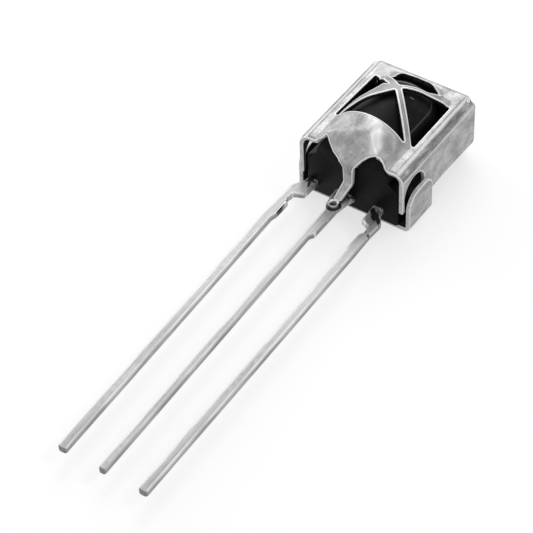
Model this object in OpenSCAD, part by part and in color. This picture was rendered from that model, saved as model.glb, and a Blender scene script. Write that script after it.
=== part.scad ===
// Infrared receiver module: a black moulded body with a dome lens, three flat leads and a folded tin-plated
// shield. It lies on its back. +X is across the three leads, -Y is the way the leads run, +Z is the way the
// lens looks. The origin is the middle of the shield's back, on the face that it rests on. Millimetres.

/* [Shield] */
// Width over the two side walls
shield_w = 7.4; // [6.6:0.1:10]
// Length from the open end, where the leads leave, to the outside of the top fold
shield_l = 8.45; // [7.6:0.05:11]
// Depth from the outside of the back panel to the outside of the flat front panel
shield_d = 4.7; // [4.2:0.05:6]
// Thickness of the tin-plated steel sheet
sheet_t = 0.28; // [0.2:0.01:0.34]
// Outside radius of the fold between the front panel and a side wall
side_fold_r = 0.7; // [0.45:0.05:1]
// Outside radius of the two folds that carry the sheet over the top to the back
top_fold_r = 0.45; // [0.4:0.05:0.8]
// Width of the back panel above the ears
back_w = 6; // [4.6:0.1:6.2]
// Distance from the back panel's outside to the side wall's back edge, at the top end
wall_gap_top = 1.03; // [0.6:0.01:1.2]
// The same distance at the open end
wall_gap_end = 1.42; // [1:0.01:1.6]
// Slit between a side wall and the folded top
corner_slit = 0.08; // [0.04:0.01:0.2]

/* [Window and grille] */
// Width of the window in the front panel
window_w = 5.66; // [4.8:0.02:5.9]
// Distance from the open end to the window's lower corners
window_from_end = 2.7; // [2.4:0.05:3.4]
// Length of the window's straight sides
window_side_l = 4.4; // [3.6:0.05:4.8]
// Distance from the open end to the window's top edge, which rides up on the dome
window_top_from_end = 7.58; // [7.2:0.02:7.7]
// Half length of the window's top edge
window_top_half = 1.5; // [1:0.05:2]
// Radius of the window's corners
window_corner_r = 0.3; // [0.1:0.05:0.6]
// Width of a grille rib
rib_w = 0.42; // [0.3:0.01:0.6]
// Width of an upper rib where it meets the window's edge
rib_root_w = 0.95; // [0.6:0.05:1.2]
// Half spread of the lower ribs' feet at the window's lower edge
lower_foot_x = 2.35; // [2:0.05:2.5]
// Distance from the open end to where the ribs cross
cross_from_end = 5.37; // [5:0.01:5.6]

/* [Hump, flap and tongue] */
// Distance from the open end to the hump's upper edge, under the window
hump_l = 2.3; // [2:0.05:2.6]
// Distance from the open end, along the hump's crown, to the flap's crease
flap_from_end = 1.1; // [0.8:0.05:1.5]
// Slope of the flap below the flat front panel's plane
flap_angle = 55; // [48:1:62]
// Half width of the flap where it leaves the hump's two cusps
flap_half_w = 1.75; // [1.5:0.05:2]
// Width of the tongue
tongue_w = 0.75; // [0.5:0.05:1]
// Length of the tongue's upright stretch
tongue_l = 1.5; // [1.2:0.05:1.8]

/* [Ears and side notches] */
// Length of an ear along the wall
ear_l = 2.66; // [2.3:0.02:3]
// Height of an ear above the back panel's outside
ear_h = 2.82; // [2.4:0.02:3.2]
// Distance from the open end to the ear's near edge
ear_from_end = 0.32; // [0.2:0.01:0.6]
// Large corner radius of the ear, towards the open end
ear_big_r = 1.1; // [0.6:0.05:1.3]
// Small corner radius of the ear, away from the open end
ear_small_r = 0.75; // [0.3:0.05:0.9]
// Clearance between the ear's inner face and the wall
ear_gap = 0.03; // [0.02:0.01:0.1]
// Outside radius of the fold between the back panel and an ear
ear_fold_r = 0.42; // [0.36:0.01:0.6]
// Radius of the arched notch in the side wall, inside which the ear's edge shows
notch_r = 1.15; // [1:0.05:1.2]
// Height of the notch's arch centre above the back panel's outside
notch_z = 2.65; // [2.3:0.05:2.8]
// Width of the prong left between the notch and the open end
prong_w = 0.23; // [0.18:0.01:0.4]
// Height of the prong's rounded end above the back panel's outside
prong_z = 1.78; // [1.6:0.02:2.2]

/* [Moulded body] */
// Depth of the block, without the lens
body_d = 2.87; // [2.4:0.01:3.2]
// Clearance between the body's side and the side wall
side_gap = 0.17; // [0.05:0.01:0.3]
// Clearance between the body's top face and where the top folds start to curve
top_gap = 0.03; // [0.01:0.01:0.2]
// Set-back of the body's end face from the shield's open end
body_inset = 0.13; // [0.05:0.01:0.4]
// Bevel of the block's edges
body_bevel = 0.12; // [0.05:0.01:0.25]
// Radius of the lens and of the half-round that runs from it to the open end
lens_r = 2.55; // [2.3:0.01:2.6]
// Height of the lens centre above the block's front face
lens_rise = 0.17; // [0:0.01:0.4]
// Distance from the open end to the lens centre
lens_from_end = 5.38; // [5:0.02:5.6]
// Clearance between the lens and the sheet over it
lens_gap = 0.1; // [0.05:0.01:0.2]

/* [Leads] */
// Thickness of the leads
lead_t = 0.45; // [0.3:0.01:0.5]
// Width of the two outer leads
outer_lead_w = 0.58; // [0.4:0.01:0.7]
// Width of the middle lead
middle_lead_w = 0.45; // [0.4:0.01:0.7]
// Length of the leads beyond the body's end face
lead_l = 25.2; // [12:0.2:32]
// Height of the leads' mid plane above the back panel's outside
lead_z = 1.08; // [0.9:0.01:1.3]
// Sideways place of the row of leads at the body
row_x = -0.45; // [-0.6:0.01:0]
// Sideways place of the middle lead's tip
tip_x = 0.05; // [-0.3:0.01:0.3]
// Spacing of the leads at their tips
tip_pitch = 2.76; // [2.4:0.01:3]
// Distance from the row's middle to an outer lead's inner edge, where it leaves the body
exit_in = 2; // [1.9:0.01:2.2]
// Distance from the row's middle to an outer lead's outer edge, where it leaves the body
exit_out = 2.72; // [2.6:0.01:2.8]
// Distance from the row's middle to the outer leads' outer edge beyond the body
root_out = 3.25; // [2.9:0.01:3.3]
// Length of an outer lead's wide shoulder
shoulder_l = 1.45; // [1.2:0.05:1.6]
// Width of an outer lead's narrow neck after the shoulder
neck_w = 0.42; // [0.36:0.01:0.5]
// Distance from the body to the neck
neck_l = 2.25; // [2:0.05:2.6]
// Distance from the body to the end of the leads' roots
root_l = 4.1; // [3.4:0.05:4.5]
// How far the trimmed bar's stub stands out from a lead's inner edge
stub_h = 0.1; // [0.04:0.01:0.14]
// Width of the middle lead's wide root
paddle_w = 0.65; // [0.55:0.01:0.75]
// Width of the middle lead where it leaves the body
middle_exit_w = 1.36; // [1:0.02:1.5]

/* [Chips and wires] */
// Side of the square photodiode chip under the lens
diode_s = 1.6; // [1:0.05:2]
// Side of the square amplifier chip
amp_s = 1.1; // [0.8:0.05:1.3]
// Thickness of both chips
chip_t = 0.25; // [0.15:0.01:0.3]
// Thickness of the glue under a chip
glue_t = 0.04; // [0.03:0.01:0.06]
// Glue that shows round a chip's edge
glue_rim = 0.06; // [0.04:0.01:0.1]
// Gap between the two chips
chip_gap = 0.75; // [0.5:0.05:1]
// Diameter of a bond wire
wire_d = 0.05; // [0.04:0.005:0.06]
// Height of a bond wire's run above the amplifier chip
wire_rise = 0.2; // [0.15:0.01:0.3]
// Margin of the pad round the photodiode
pad_margin = 0.7; // [0.5:0.05:1]

/* [Hidden] */
$fn = 48;
eps = 0.01;

end_y = -shield_l / 2;
top_y = shield_l / 2;
inner_w = shield_w - 2 * sheet_t;
top_half = inner_w / 2 - corner_slit;
front_in = shield_d - sheet_t;

body_w = inner_w - 2 * side_gap;
body_y0 = end_y + body_inset;
body_y1 = top_y - top_fold_r - top_gap;
body_z0 = sheet_t;
body_z1 = body_z0 + body_d;

lens_y = end_y + lens_from_end;
lens_z = body_z1 + lens_rise;
cover_in_r = lens_r + lens_gap;
cover_r = cover_in_r + sheet_t;
// Half width of the opening under the hump, measured in the front panel's inner face
cover_half_in = sqrt(pow(cover_in_r, 2) - pow(front_in - lens_z, 2));

window_y0 = end_y + window_from_end;
window_y1 = window_y0 + window_side_l;
window_y2 = end_y + window_top_from_end;
cross_y = end_y + cross_from_end;
hump_y1 = end_y + hump_l;
crease_y = end_y + flap_from_end;
crease_z = lens_z + cover_r;

lead_z0 = lead_z - lead_t / 2;
lead_z1 = lead_z + lead_t / 2;

// The upright stretch of the tongue starts where the flap has come down to the tongue's outer face. The flap
// is full width down to flap_shoulder of its slope, then narrows to the tongue with a flare at its foot.
flap_run = 1.43;
flap_shoulder = 0.5;
flap_flare = 0.1;
flap_flare_at = 0.97;
tongue_y = crease_y - flap_run;
flap_foot_z = crease_z - flap_run * tan(flap_angle);
tongue_z = flap_foot_z - tongue_l;
tongue_tip_w = 0.6;
paddle_shift = 0.02;
paddle_x = row_x + paddle_shift;
solder_x = row_x;
solder_from_body = 1.38;
solder_y = body_y0 - solder_from_body;
tongue_past_solder = 0.15;
tongue_end_y = solder_y - tongue_past_solder;
solder_r = 0.42;
solder_h = 0.34;
solder_side = 0.6;
solder_film = 0.02;

ear_x = shield_w / 2 + ear_gap;
ear_y0 = end_y + ear_from_end;
ear_y1 = ear_y0 + ear_l;
notch_y = end_y + prong_w + notch_r;

pad_z = lead_z1;
chip_z = pad_z + glue_t;
chip_top = chip_z + chip_t;
amp_x = 0;
amp_y = lens_y - diode_s / 2 - chip_gap - amp_s / 2;
pad_w = diode_s + 2 * pad_margin;
pad_past_amp = 0.35;
pad_y0 = amp_y - amp_s / 2 - pad_past_amp;
pad_y1 = lens_y + diode_s / 2 + pad_margin;
post_y1 = amp_y + amp_s / 2;
post_from_end = 1.15;
post_y0 = body_y0 + post_from_end;
post_w = 0.8;
post_gap = 0.2;
wire_top = chip_top + wire_rise;
// Bond places: inside a chip's edge, on the pad beyond it, and sideways from a chip's middle
bond_in = 0.15;
bond_out = 0.2;
bond_side = 0.3;
bond_step = 0.1;

// Outlines of the leads' roots, in distances from the body unless named otherwise. The outer leads: a straight
// exit, the shoulder's widest place, how the neck narrows, and the trimmed bar's stub.
exit_l = 0.3;
exit_hold = 0.35;
shoulder_at = 1.1;
shoulder_in = 0.08;
neck_set = 0.06;
neck_flare = 0.1;
neck_start = 0.25;
stub_start = 0.3;
stub_end = 0.4;
// The middle lead: its two arms run in to the paddle at these places, and its stem inside the body narrows
left_arm_l = 0.85;
left_arm_end = 1.95;
right_arm_l = 0.15;
right_arm_bend = 0.5;
right_arm_end = 1.5;
arm_bend_w = 0.75;
paddle_skew = 0.1;
stem_w = 0.6;
stem_hold = 0.3;
stem_shoulder = 0.5;
rib_widens = 0.7;

steel = [0.78, 0.78, 0.79];
tin = [0.82, 0.82, 0.81];
epoxy = [0.07, 0.07, 0.08];
silicon = [0.35, 0.38, 0.45];

// The channel's profile in X and Z: open at the back, with its two front corners rounded
module fold_profile(half_w, top, r) {
    union() {
        translate([-half_w, -1]) square([2 * half_w, top - r + 1]);
        translate([-half_w + r, 0]) square([2 * (half_w - r), top]);
        for (s = [-1, 1]) translate([s * (half_w - r), top - r]) circle(r = r);
    }
}

// Extrudes a profile drawn in X and Z along Y, from y0 to y1
module along_y(y0, y1) {
    translate([0, y1, 0]) rotate([90, 0, 0]) linear_extrude(y1 - y0) children();
}

// Extrudes a profile drawn in Y and Z along X, from x0 to x1
module along_x(x0, x1) {
    translate([x0, 0, 0]) rotate([90, 0, 90]) linear_extrude(x1 - x0) children();
}

// The front panel and both side walls, without any opening, and without the strip that folds over the top
module channel() {
    difference() {
        along_y(end_y, top_y) fold_profile(shield_w / 2, shield_d, side_fold_r);
        along_y(end_y - 1, top_y + 1) fold_profile(inner_w / 2, front_in, side_fold_r - sheet_t);
        translate([-top_half, top_y - top_fold_r, 0]) cube([2 * top_half, shield_l, 2 * shield_d]);
    }
}

// The side walls' outline seen from the side: the tapering back edge, the notch and the prong
module wall_outline() {
    difference() {
        polygon([[end_y, wall_gap_end], [top_y, wall_gap_top], [top_y, shield_d + 1],
            [end_y, shield_d + 1]]);
        translate([notch_y, notch_z]) circle(r = notch_r);
        translate([notch_y - notch_r, 0]) square([2 * notch_r, notch_z]);
        translate([end_y - 1, 0]) square([1 + prong_w + eps, prong_z - prong_w / 2]);
    }
    translate([end_y + prong_w / 2, prong_z]) circle(d = prong_w);
}

// The sheet's path over the top and down the back, seen from the side
module back_outline(grow) {
    r = top_fold_r - grow;
    y1 = top_y - grow;
    translate([0, grow]) square([y1 - r, shield_d - 2 * grow]);
    translate([0, grow + r]) square([y1, shield_d - 2 * grow - 2 * r]);
    for (z = [grow + r, shield_d - grow - r]) translate([y1 - r, z]) circle(r = r);
}

// The top fold and the back panel
module top_and_back() {
    intersection() {
        along_x(-shield_w / 2, shield_w / 2) difference() {
            back_outline(0);
            back_outline(sheet_t);
            translate([-1, shield_d / 2]) square([top_y - top_fold_r + 1, shield_d]);
        }
        union() {
            translate([-top_half, 0, wall_gap_top]) cube([2 * top_half, shield_l, shield_d]);
            translate([-back_w / 2, -1, -1]) cube([back_w, shield_l, shield_d]);
        }
    }
    translate([-back_w / 2, ear_y0, 0]) cube([back_w, eps - ear_y0, sheet_t]);
}

// One ear: its fold at the back panel and the plate beside the wall
module ear() {
    x1 = ear_x + sheet_t;
    along_y(ear_y0, ear_y1) union() {
        translate([back_w / 2 - eps, 0]) square([x1 - ear_fold_r - back_w / 2 + eps, sheet_t]);
        translate([x1 - ear_fold_r, ear_fold_r]) difference() {
            circle(r = ear_fold_r);
            circle(r = ear_fold_r - sheet_t);
            translate([-2 * ear_fold_r, -ear_fold_r]) square([2 * ear_fold_r, 2 * ear_fold_r]);
            translate([-eps, 0]) square(2 * ear_fold_r);
        }
    }
    along_x(ear_x, x1) difference() {
        translate([ear_y0, ear_fold_r]) square([ear_l, ear_h - ear_fold_r]);
        corner_cut(ear_y0, ear_h, ear_big_r, 1);
        corner_cut(ear_y1, ear_h, ear_small_r, -1);
    }
}

// What rounding takes off a corner at (y, z), whose solid lies at +way along y and below z
module corner_cut(y, z, r, way) {
    difference() {
        translate([way > 0 ? y - 1 : y - r, z - r]) square([r + 1, r + 1]);
        translate([y + way * r, z - r]) circle(r = r);
        translate([way > 0 ? y : y - r, z - r - 1]) square([r, 1]);
    }
}

// The window's outline in the front panel
module window_outline() {
    half = window_w / 2;
    r = window_corner_r;
    difference() {
        translate([-half, window_y0]) square([window_w, window_side_l]);
        for (s = [-1, 1]) difference() {
            translate([s * (half - r / 2), window_y0 + r / 2]) square([r + eps, r + eps], center = true);
            translate([s * (half - r), window_y0 + r]) circle(r = r);
        }
    }
    polygon([[-half, window_y1 - eps], [half, window_y1 - eps], [half, window_y1],
        [window_top_half, window_y2], [-window_top_half, window_y2], [-half, window_y1]]);
    translate([0, lens_y]) circle(r = cover_half_in);
}

// A flat bar in the XY plane from the ribs' crossing to a foot and a little past it, with its width at the root
module rib_bar(foot_x, foot_y, root_w) {
    run = [foot_x, foot_y - cross_y];
    reach = norm(run);
    past = 2 * rib_w;
    translate([0, cross_y]) rotate(atan2(run[1], run[0])) {
        translate([0, -rib_w / 2]) square([reach + past, rib_w]);
        polygon([[reach * rib_widens, -rib_w / 2], [reach, -root_w / 2], [reach + past, -root_w / 2],
            [reach + past, root_w / 2], [reach, root_w / 2], [reach * rib_widens, rib_w / 2]]);
    }
}

// The grille: four ribs left standing of the half-round bulge, with feet that end flat in the window's corners
module grille() {
    half = window_w / 2 + eps;
    side = window_y1 - hump_y1 + eps;
    shoulder_x = cover_half_in + 2 * eps;
    intersection() {
        union() {
            along_y(end_y, top_y) difference() {
                translate([0, lens_z]) circle(r = cover_r);
                translate([0, lens_z]) circle(r = cover_in_r);
                translate([-shield_w, -shield_d]) square([2 * shield_w, shield_d + front_in]);
            }
            for (x = [-half, shoulder_x]) translate([x, hump_y1, front_in])
                cube([half - shoulder_x, side, sheet_t]);
        }
        translate([0, 0, front_in - 1]) linear_extrude(shield_d + 2) intersection() {
            union() for (s = [-1, 1]) {
                rib_bar(s * window_w / 2, window_y1, rib_root_w);
                rib_bar(s * lower_foot_x, window_y0, rib_w);
            }
            translate([-half, hump_y1]) square([2 * half, side]);
        }
    }
}

// The raised lip at the window's top edge, where the bulge closes as part of a ball
module lip() {
    intersection() {
        difference() {
            translate([0, lens_y, lens_z]) sphere(r = cover_r);
            translate([0, lens_y, lens_z]) sphere(r = cover_in_r);
        }
        translate([-shield_w, window_y2, front_in]) cube([2 * shield_w, shield_l, shield_d]);
    }
}

// The half-round hump between the window and the open end
module hump() {
    difference() {
        intersection() {
            along_y(end_y, hump_y1) translate([0, lens_z]) circle(r = cover_r);
            translate([-shield_w, end_y, front_in]) cube([2 * shield_w, hump_l, shield_d]);
        }
        along_y(end_y - 1, hump_y1 + 1) translate([0, lens_z]) circle(r = cover_in_r);
        flap_side(0) translate([-flap_half_w, -shield_l]) square([2 * flap_half_w, shield_l]);
    }
}

// Draws an outline on the flap's slanting plane: X across, Y up the slope from the crease. The plate made is
// sheet_t thick under the flap's outer face, or all that lies above the face when thick is 0.
module flap_side(thick) {
    translate([0, crease_y, crease_z]) rotate([flap_angle, 0, 0])
        translate([0, 0, thick > 0 ? -thick : -sheet_t])
            linear_extrude(thick > 0 ? thick : shield_d) children();
}

// The flap: the crease's arch above, narrowing to the tongue below
module flap() {
    slope_l = flap_run / cos(flap_angle);
    intersection() {
        flap_side(sheet_t) polygon([[-flap_half_w, 0], [-flap_half_w, -slope_l * flap_shoulder],
            [-tongue_w / 2 - flap_flare, -slope_l * flap_flare_at], [-tongue_w / 2, -slope_l - flap_flare],
            [tongue_w / 2, -slope_l - flap_flare], [tongue_w / 2 + flap_flare, -slope_l * flap_flare_at],
            [flap_half_w, -slope_l * flap_shoulder], [flap_half_w, 0]]);
        union() {
            along_y(end_y, hump_y1) translate([0, lens_z]) circle(r = cover_r);
            translate([-flap_half_w, end_y - shield_d, 0])
                cube([2 * flap_half_w, shield_d + eps, 2 * shield_d]);
        }
    }
}

// The tongue: upright, then slanting down to the middle lead
module tongue() {
    y_in = tongue_y + sheet_t;
    foot_z = lead_z1 + sheet_t / 2 + solder_film;
    run = [tongue_end_y - tongue_y, foot_z - tongue_z];
    reach = norm(run);
    slope = atan2(-run[1], -run[0]);
    translate([-tongue_w / 2, tongue_y, tongue_z]) cube([tongue_w, sheet_t, tongue_l]);
    translate([-tongue_w / 2, y_in - sheet_t / 2, tongue_z]) rotate([0, 90, 0])
        cylinder(d = sheet_t, h = tongue_w);
    translate([0, y_in - sheet_t / 2, tongue_z]) rotate([slope, 0, 0])
        translate([0, 0, -sheet_t / 2]) linear_extrude(sheet_t)
            polygon([[-tongue_w / 2, 0], [solder_x - tongue_tip_w / 2, -reach],
                [solder_x + tongue_tip_w / 2, -reach], [tongue_w / 2, 0]]);
}

// The folded shield, one sheet
module shield() {
    color(steel) union() {
        difference() {
            union() {
                intersection() {
                    channel();
                    along_x(-shield_w, shield_w) wall_outline();
                }
                top_and_back();
            }
            translate([0, 0, front_in - 1]) linear_extrude(3) window_outline();
            translate([-cover_half_in, end_y - 1, front_in - 1])
                cube([2 * cover_half_in, window_from_end + 1 + eps, 3]);
        }
        for (s = [0, 1]) mirror([s, 0, 0]) ear();
        hump();
        grille();
        lip();
        flap();
        tongue();
    }
}

// A flat blank of lead stock from an outline
module lead_plate() {
    translate([0, 0, lead_z0]) linear_extrude(lead_t) children();
}

// An outer lead, on side -1 or 1. Points are [distance from the row's middle, distance from the body]:
// the stretch beyond the body, then the post that the moulding holds.
module outer_lead(side) {
    in_x = root_out - outer_lead_w;
    neck_out = root_out - neck_set;
    tip = side * (tip_x - row_x) + tip_pitch;
    post_in = pad_w / 2 + post_gap - side * row_x;
    post_out = post_in + post_w;
    points = [[exit_out, 0], [exit_out, exit_l], [root_out, shoulder_at], [neck_out, neck_l],
        [root_out, root_l], [tip + outer_lead_w / 2, lead_l], [tip - outer_lead_w / 2, lead_l],
        [in_x, root_l], [in_x - stub_h, root_l - stub_end], [in_x - stub_h, neck_l + stub_start],
        [neck_out - neck_w, neck_l], [neck_out - neck_w - neck_flare, shoulder_l + neck_start],
        [exit_in + shoulder_in, shoulder_l], [exit_in, exit_l], [exit_in, -exit_hold],
        [post_in, body_y0 - post_y0], [post_in, body_y0 - post_y1], [post_out, body_y0 - post_y1],
        [post_out, body_y0 - post_y0], [exit_out, -exit_hold]];
    color(tin) lead_plate() polygon([for (p = points) [row_x + side * p[0], body_y0 - p[1]]]);
}

module output_lead() { outer_lead(-1); }

module supply_lead() { outer_lead(1); }

// The middle lead, with the two arms that it leaves the body by, and the pad that carries both chips.
// Points are [sideways place, distance from the body].
module ground_lead() {
    half = middle_exit_w / 2;
    stem = half * stem_w;
    foot_l = paddle_x - paddle_w / 2;
    foot_r = paddle_x + paddle_w / 2;
    pad_start = body_y0 - pad_y0;
    points = [[row_x - half, 0], [row_x - half, left_arm_l], [foot_l, left_arm_end], [foot_l, root_l],
        [tip_x - middle_lead_w / 2, lead_l], [tip_x + middle_lead_w / 2, lead_l],
        [foot_l + middle_lead_w, root_l + paddle_skew], [foot_r, root_l - paddle_skew],
        [foot_r, right_arm_end], [row_x + half * arm_bend_w, right_arm_bend],
        [row_x + half, right_arm_l], [row_x + half, 0],
        [row_x + stem, -stem_hold], [row_x + stem, pad_start + stem_shoulder], [pad_w / 2, pad_start],
        [pad_w / 2, body_y0 - pad_y1], [-pad_w / 2, body_y0 - pad_y1], [-pad_w / 2, pad_start],
        [row_x - stem, pad_start + stem_shoulder], [row_x - stem, -stem_hold]];
    color(tin) lead_plate() polygon([for (p = points) [p[0], body_y0 - p[1]]]);
}

// A square plate centred at (x, y), from z up
module square_plate(x, y, z, side, t) {
    translate([x - side / 2, y - side / 2, z]) cube([side, side, t]);
}

module photodiode_chip() {
    color(silicon) square_plate(0, lens_y, chip_z, diode_s, chip_t);
}

module amplifier_chip() {
    color(silicon) square_plate(amp_x, amp_y, chip_z, amp_s, chip_t);
}

module photodiode_glue() {
    color("silver") square_plate(0, lens_y, pad_z, diode_s + 2 * glue_rim, glue_t);
}

module amplifier_glue() {
    color("silver") square_plate(amp_x, amp_y, pad_z, amp_s + 2 * glue_rim, glue_t);
}

// A bond wire: up from a, across at wire_top and down to b
module wire(a, b) {
    r = wire_d / 2;
    run = [b[0] - a[0], b[1] - a[1]];
    color("gold") union() {
        for (p = [a, b]) {
            translate(p) cylinder(r = r, h = wire_top - p[2]);
            translate([p[0], p[1], wire_top]) sphere(r = r);
        }
        translate([a[0], a[1], wire_top]) rotate([0, 90, atan2(run[1], run[0])])
            cylinder(r = r, h = norm(run));
    }
}

module diode_wire() {
    wire([bond_side, lens_y - diode_s / 2 + bond_in, chip_top],
        [bond_side, amp_y + amp_s / 2 - bond_in, chip_top]);
}

module output_wire() {
    wire([amp_x - amp_s / 2 + bond_in, amp_y + bond_step, chip_top],
        [-pad_w / 2 - post_gap - post_w / 2, amp_y + bond_step, lead_z1]);
}

module supply_wire() {
    wire([amp_x + amp_s / 2 - bond_in, amp_y - bond_step, chip_top],
        [pad_w / 2 + post_gap + post_w / 2, amp_y - bond_step, lead_z1]);
}

module ground_wire() {
    wire([amp_x - bond_side, amp_y - amp_s / 2 + bond_in, chip_top],
        [amp_x - bond_side, amp_y - amp_s / 2 - bond_out, lead_z1]);
}

// Everything that the moulding compound is cast round
module embedded() {
    output_lead();
    ground_lead();
    supply_lead();
    photodiode_chip();
    amplifier_chip();
    photodiode_glue();
    amplifier_glue();
    diode_wire();
    output_wire();
    supply_wire();
    ground_wire();
}

// The block's outline seen from the end, with bevelled corners
module block_profile() {
    h = body_w / 2;
    b = body_bevel;
    polygon([[-h + b, body_z0], [h - b, body_z0], [h, body_z0 + b], [h, body_z1 - b], [h - b, body_z1],
        [-h + b, body_z1], [-h, body_z1 - b], [-h, body_z0 + b]]);
}

// The moulded body: the block, the dome lens and the half-round down to the end face
module moulded_body() {
    color(epoxy) difference() {
        union() {
            along_y(body_y0, body_y1) block_profile();
            translate([0, lens_y, lens_z]) sphere(r = lens_r);
            along_y(body_y0, lens_y) translate([0, lens_z]) circle(r = lens_r);
        }
        translate([-shield_w, -shield_l, -shield_d]) cube([2 * shield_w, 2 * shield_l, shield_d + body_z0]);
        translate([0, crease_y, crease_z]) rotate([flap_angle, 0, 0])
            translate([-shield_w, -shield_l, -sheet_t - lens_gap]) cube([2 * shield_w, 2 * shield_l, shield_l]);
        embedded();
    }
}

// The solder that fixes the tongue to the middle lead
module tongue_solder() {
    color(tin) difference() {
        translate([solder_x, solder_y, lead_z1]) union() {
            cylinder(r = solder_r, h = solder_h * solder_side);
            translate([0, 0, solder_h * solder_side])
                cylinder(r1 = solder_r, r2 = solder_r * solder_side, h = solder_h * (1 - solder_side));
        }
        tongue();
    }
}

shield();
moulded_body();
output_lead();
ground_lead();
supply_lead();
photodiode_chip();
amplifier_chip();
photodiode_glue();
amplifier_glue();
diode_wire();
output_wire();
supply_wire();
ground_wire();
tongue_solder();
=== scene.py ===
# %% [markdown]
# # Infrared receiver module
#
# A black moulded block with a dome lens stands in a shield folded from one sheet of tin-plated steel, and
# three flat leads run out of its open end. This lesson builds what the eye sees of it around a frame of exact
# solids: the sheet, the block, the leads and the solder get meshes of their own in the same places and at the
# same sizes, and what is sealed inside keeps its solid and gets a finish.
#
# Lengths are written in millimetres, because the object is a few millimetres wide, and `MM` turns them into
# Blender's metres. +X runs across the leads, the leads run to -Y and the lens looks to +Z.

import math

import bmesh
import bpy
import numpy as np
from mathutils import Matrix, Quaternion, Vector
from mathutils.geometry import delaunay_2d_cdt


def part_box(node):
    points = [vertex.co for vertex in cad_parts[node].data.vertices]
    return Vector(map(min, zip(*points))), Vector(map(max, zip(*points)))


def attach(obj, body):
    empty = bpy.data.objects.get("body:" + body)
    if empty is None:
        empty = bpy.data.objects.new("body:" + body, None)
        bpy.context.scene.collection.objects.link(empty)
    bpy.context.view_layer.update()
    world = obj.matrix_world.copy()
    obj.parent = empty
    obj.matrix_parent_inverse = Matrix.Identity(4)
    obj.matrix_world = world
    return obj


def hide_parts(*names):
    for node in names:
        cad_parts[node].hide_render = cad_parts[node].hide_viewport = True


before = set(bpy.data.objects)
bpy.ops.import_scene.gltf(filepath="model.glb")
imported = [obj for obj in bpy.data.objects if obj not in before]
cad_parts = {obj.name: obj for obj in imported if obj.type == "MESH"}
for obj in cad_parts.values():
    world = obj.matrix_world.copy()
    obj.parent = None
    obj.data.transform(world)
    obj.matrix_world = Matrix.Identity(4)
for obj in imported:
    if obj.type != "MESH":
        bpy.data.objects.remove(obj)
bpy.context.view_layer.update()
MM = 0.001


def node_box(node):
    """Lowest and highest corner of a solid of the frame, in millimetres."""
    low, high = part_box(node)
    return np.array(low) / MM, np.array(high) / MM


for node in sorted(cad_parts):
    low, high = node_box(node)
    print(node, "size in mm:", (high - low).round(2))

# %% [markdown]
# ## The camera
#
# The camera comes first, because everything after it is judged through it. It looks down on the module from
# the lens side and from beyond the leads' tips, turned a little so that they run to the lower left. A long
# lens from 12 cm away keeps the leads almost parallel. `to_track_quat` aims a camera at a point, and a small
# turn about its own axis then levels the picture.

# %% Camera
CAMERA_AT = (50.04, -80.93, 89.89)
CAMERA_AIM = (-1.17, -11.63, 1.0)
CAMERA_ROLL = -2.93
CAMERA_LENS = 141.03
SENSOR_WIDTH = 36
NEAREST = 5

camera_data = bpy.data.cameras.new("camera")
camera_data.lens = CAMERA_LENS
camera_data.sensor_width = SENSOR_WIDTH
camera_data.clip_start = NEAREST * MM
camera = bpy.data.objects.new("camera", camera_data)
aim = Vector(CAMERA_AIM) - Vector(CAMERA_AT)
roll = Quaternion((0, 0, 1), math.radians(CAMERA_ROLL))
camera.rotation_mode = "QUATERNION"
camera.rotation_quaternion = aim.to_track_quat("-Z", "Y") @ roll
camera.location = Vector(CAMERA_AT) * MM
bpy.context.scene.collection.objects.link(camera)
bpy.context.scene.camera = camera
print("camera", round(aim.length, 1), "mm from its aim")

# %% [markdown]
# ## Floor and light
#
# A pale floor and a white surround, as in a product photograph. Three area lamps give soft light: a broad one
# from above the shield's closed end, one from the left, and a smaller and weaker one from the right that
# draws the highlight on the hump. The floor adds light of its own for the camera and for reflections only, so
# that it reads as white paper, lights nothing, and still keeps the module's shadow.

# %% Floor, surround and lamps
FLOOR_SIZE = 600
FLOOR_COLOUR = (0.5, 0.5, 0.5, 1)
FLOOR_GLOW = 0.62
SURROUND_LEVEL = 0.55


def seen_ray(nodes, links):
    """1 for rays of the camera, of reflections and through glass, 0 for the rest."""
    path = nodes.new("ShaderNodeLightPath")
    first = nodes.new("ShaderNodeMath")
    first.operation = "MAXIMUM"
    links.new(path.outputs["Is Camera Ray"], first.inputs[0])
    links.new(path.outputs["Is Glossy Ray"], first.inputs[1])
    both = nodes.new("ShaderNodeMath")
    both.operation = "MAXIMUM"
    links.new(first.outputs[0], both.inputs[0])
    links.new(path.outputs["Is Transmission Ray"], both.inputs[1])
    return both.outputs[0]


def make_floor():
    half = FLOOR_SIZE / 2 * MM
    corners = [(-half, -half, 0), (half, -half, 0), (half, half, 0), (-half, half, 0)]
    mesh = bpy.data.meshes.new("floor")
    mesh.from_pydata(corners, [], [(0, 1, 2, 3)])
    floor = bpy.data.objects.new("floor", mesh)
    bpy.context.scene.collection.objects.link(floor)
    material = bpy.data.materials.new("floor_paper")
    material.use_nodes = True
    nodes, links = material.node_tree.nodes, material.node_tree.links
    nodes.clear()
    paper = nodes.new("ShaderNodeBsdfDiffuse")
    paper.inputs["Color"].default_value = FLOOR_COLOUR
    glow = nodes.new("ShaderNodeEmission")
    scale = nodes.new("ShaderNodeMath")
    scale.operation = "MULTIPLY"
    scale.inputs[1].default_value = FLOOR_GLOW
    links.new(seen_ray(nodes, links), scale.inputs[0])
    links.new(scale.outputs[0], glow.inputs["Strength"])
    both = nodes.new("ShaderNodeAddShader")
    out = nodes.new("ShaderNodeOutputMaterial")
    links.new(paper.outputs[0], both.inputs[0])
    links.new(glow.outputs[0], both.inputs[1])
    links.new(both.outputs[0], out.inputs["Surface"])
    mesh.materials.append(material)
    return floor


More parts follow.
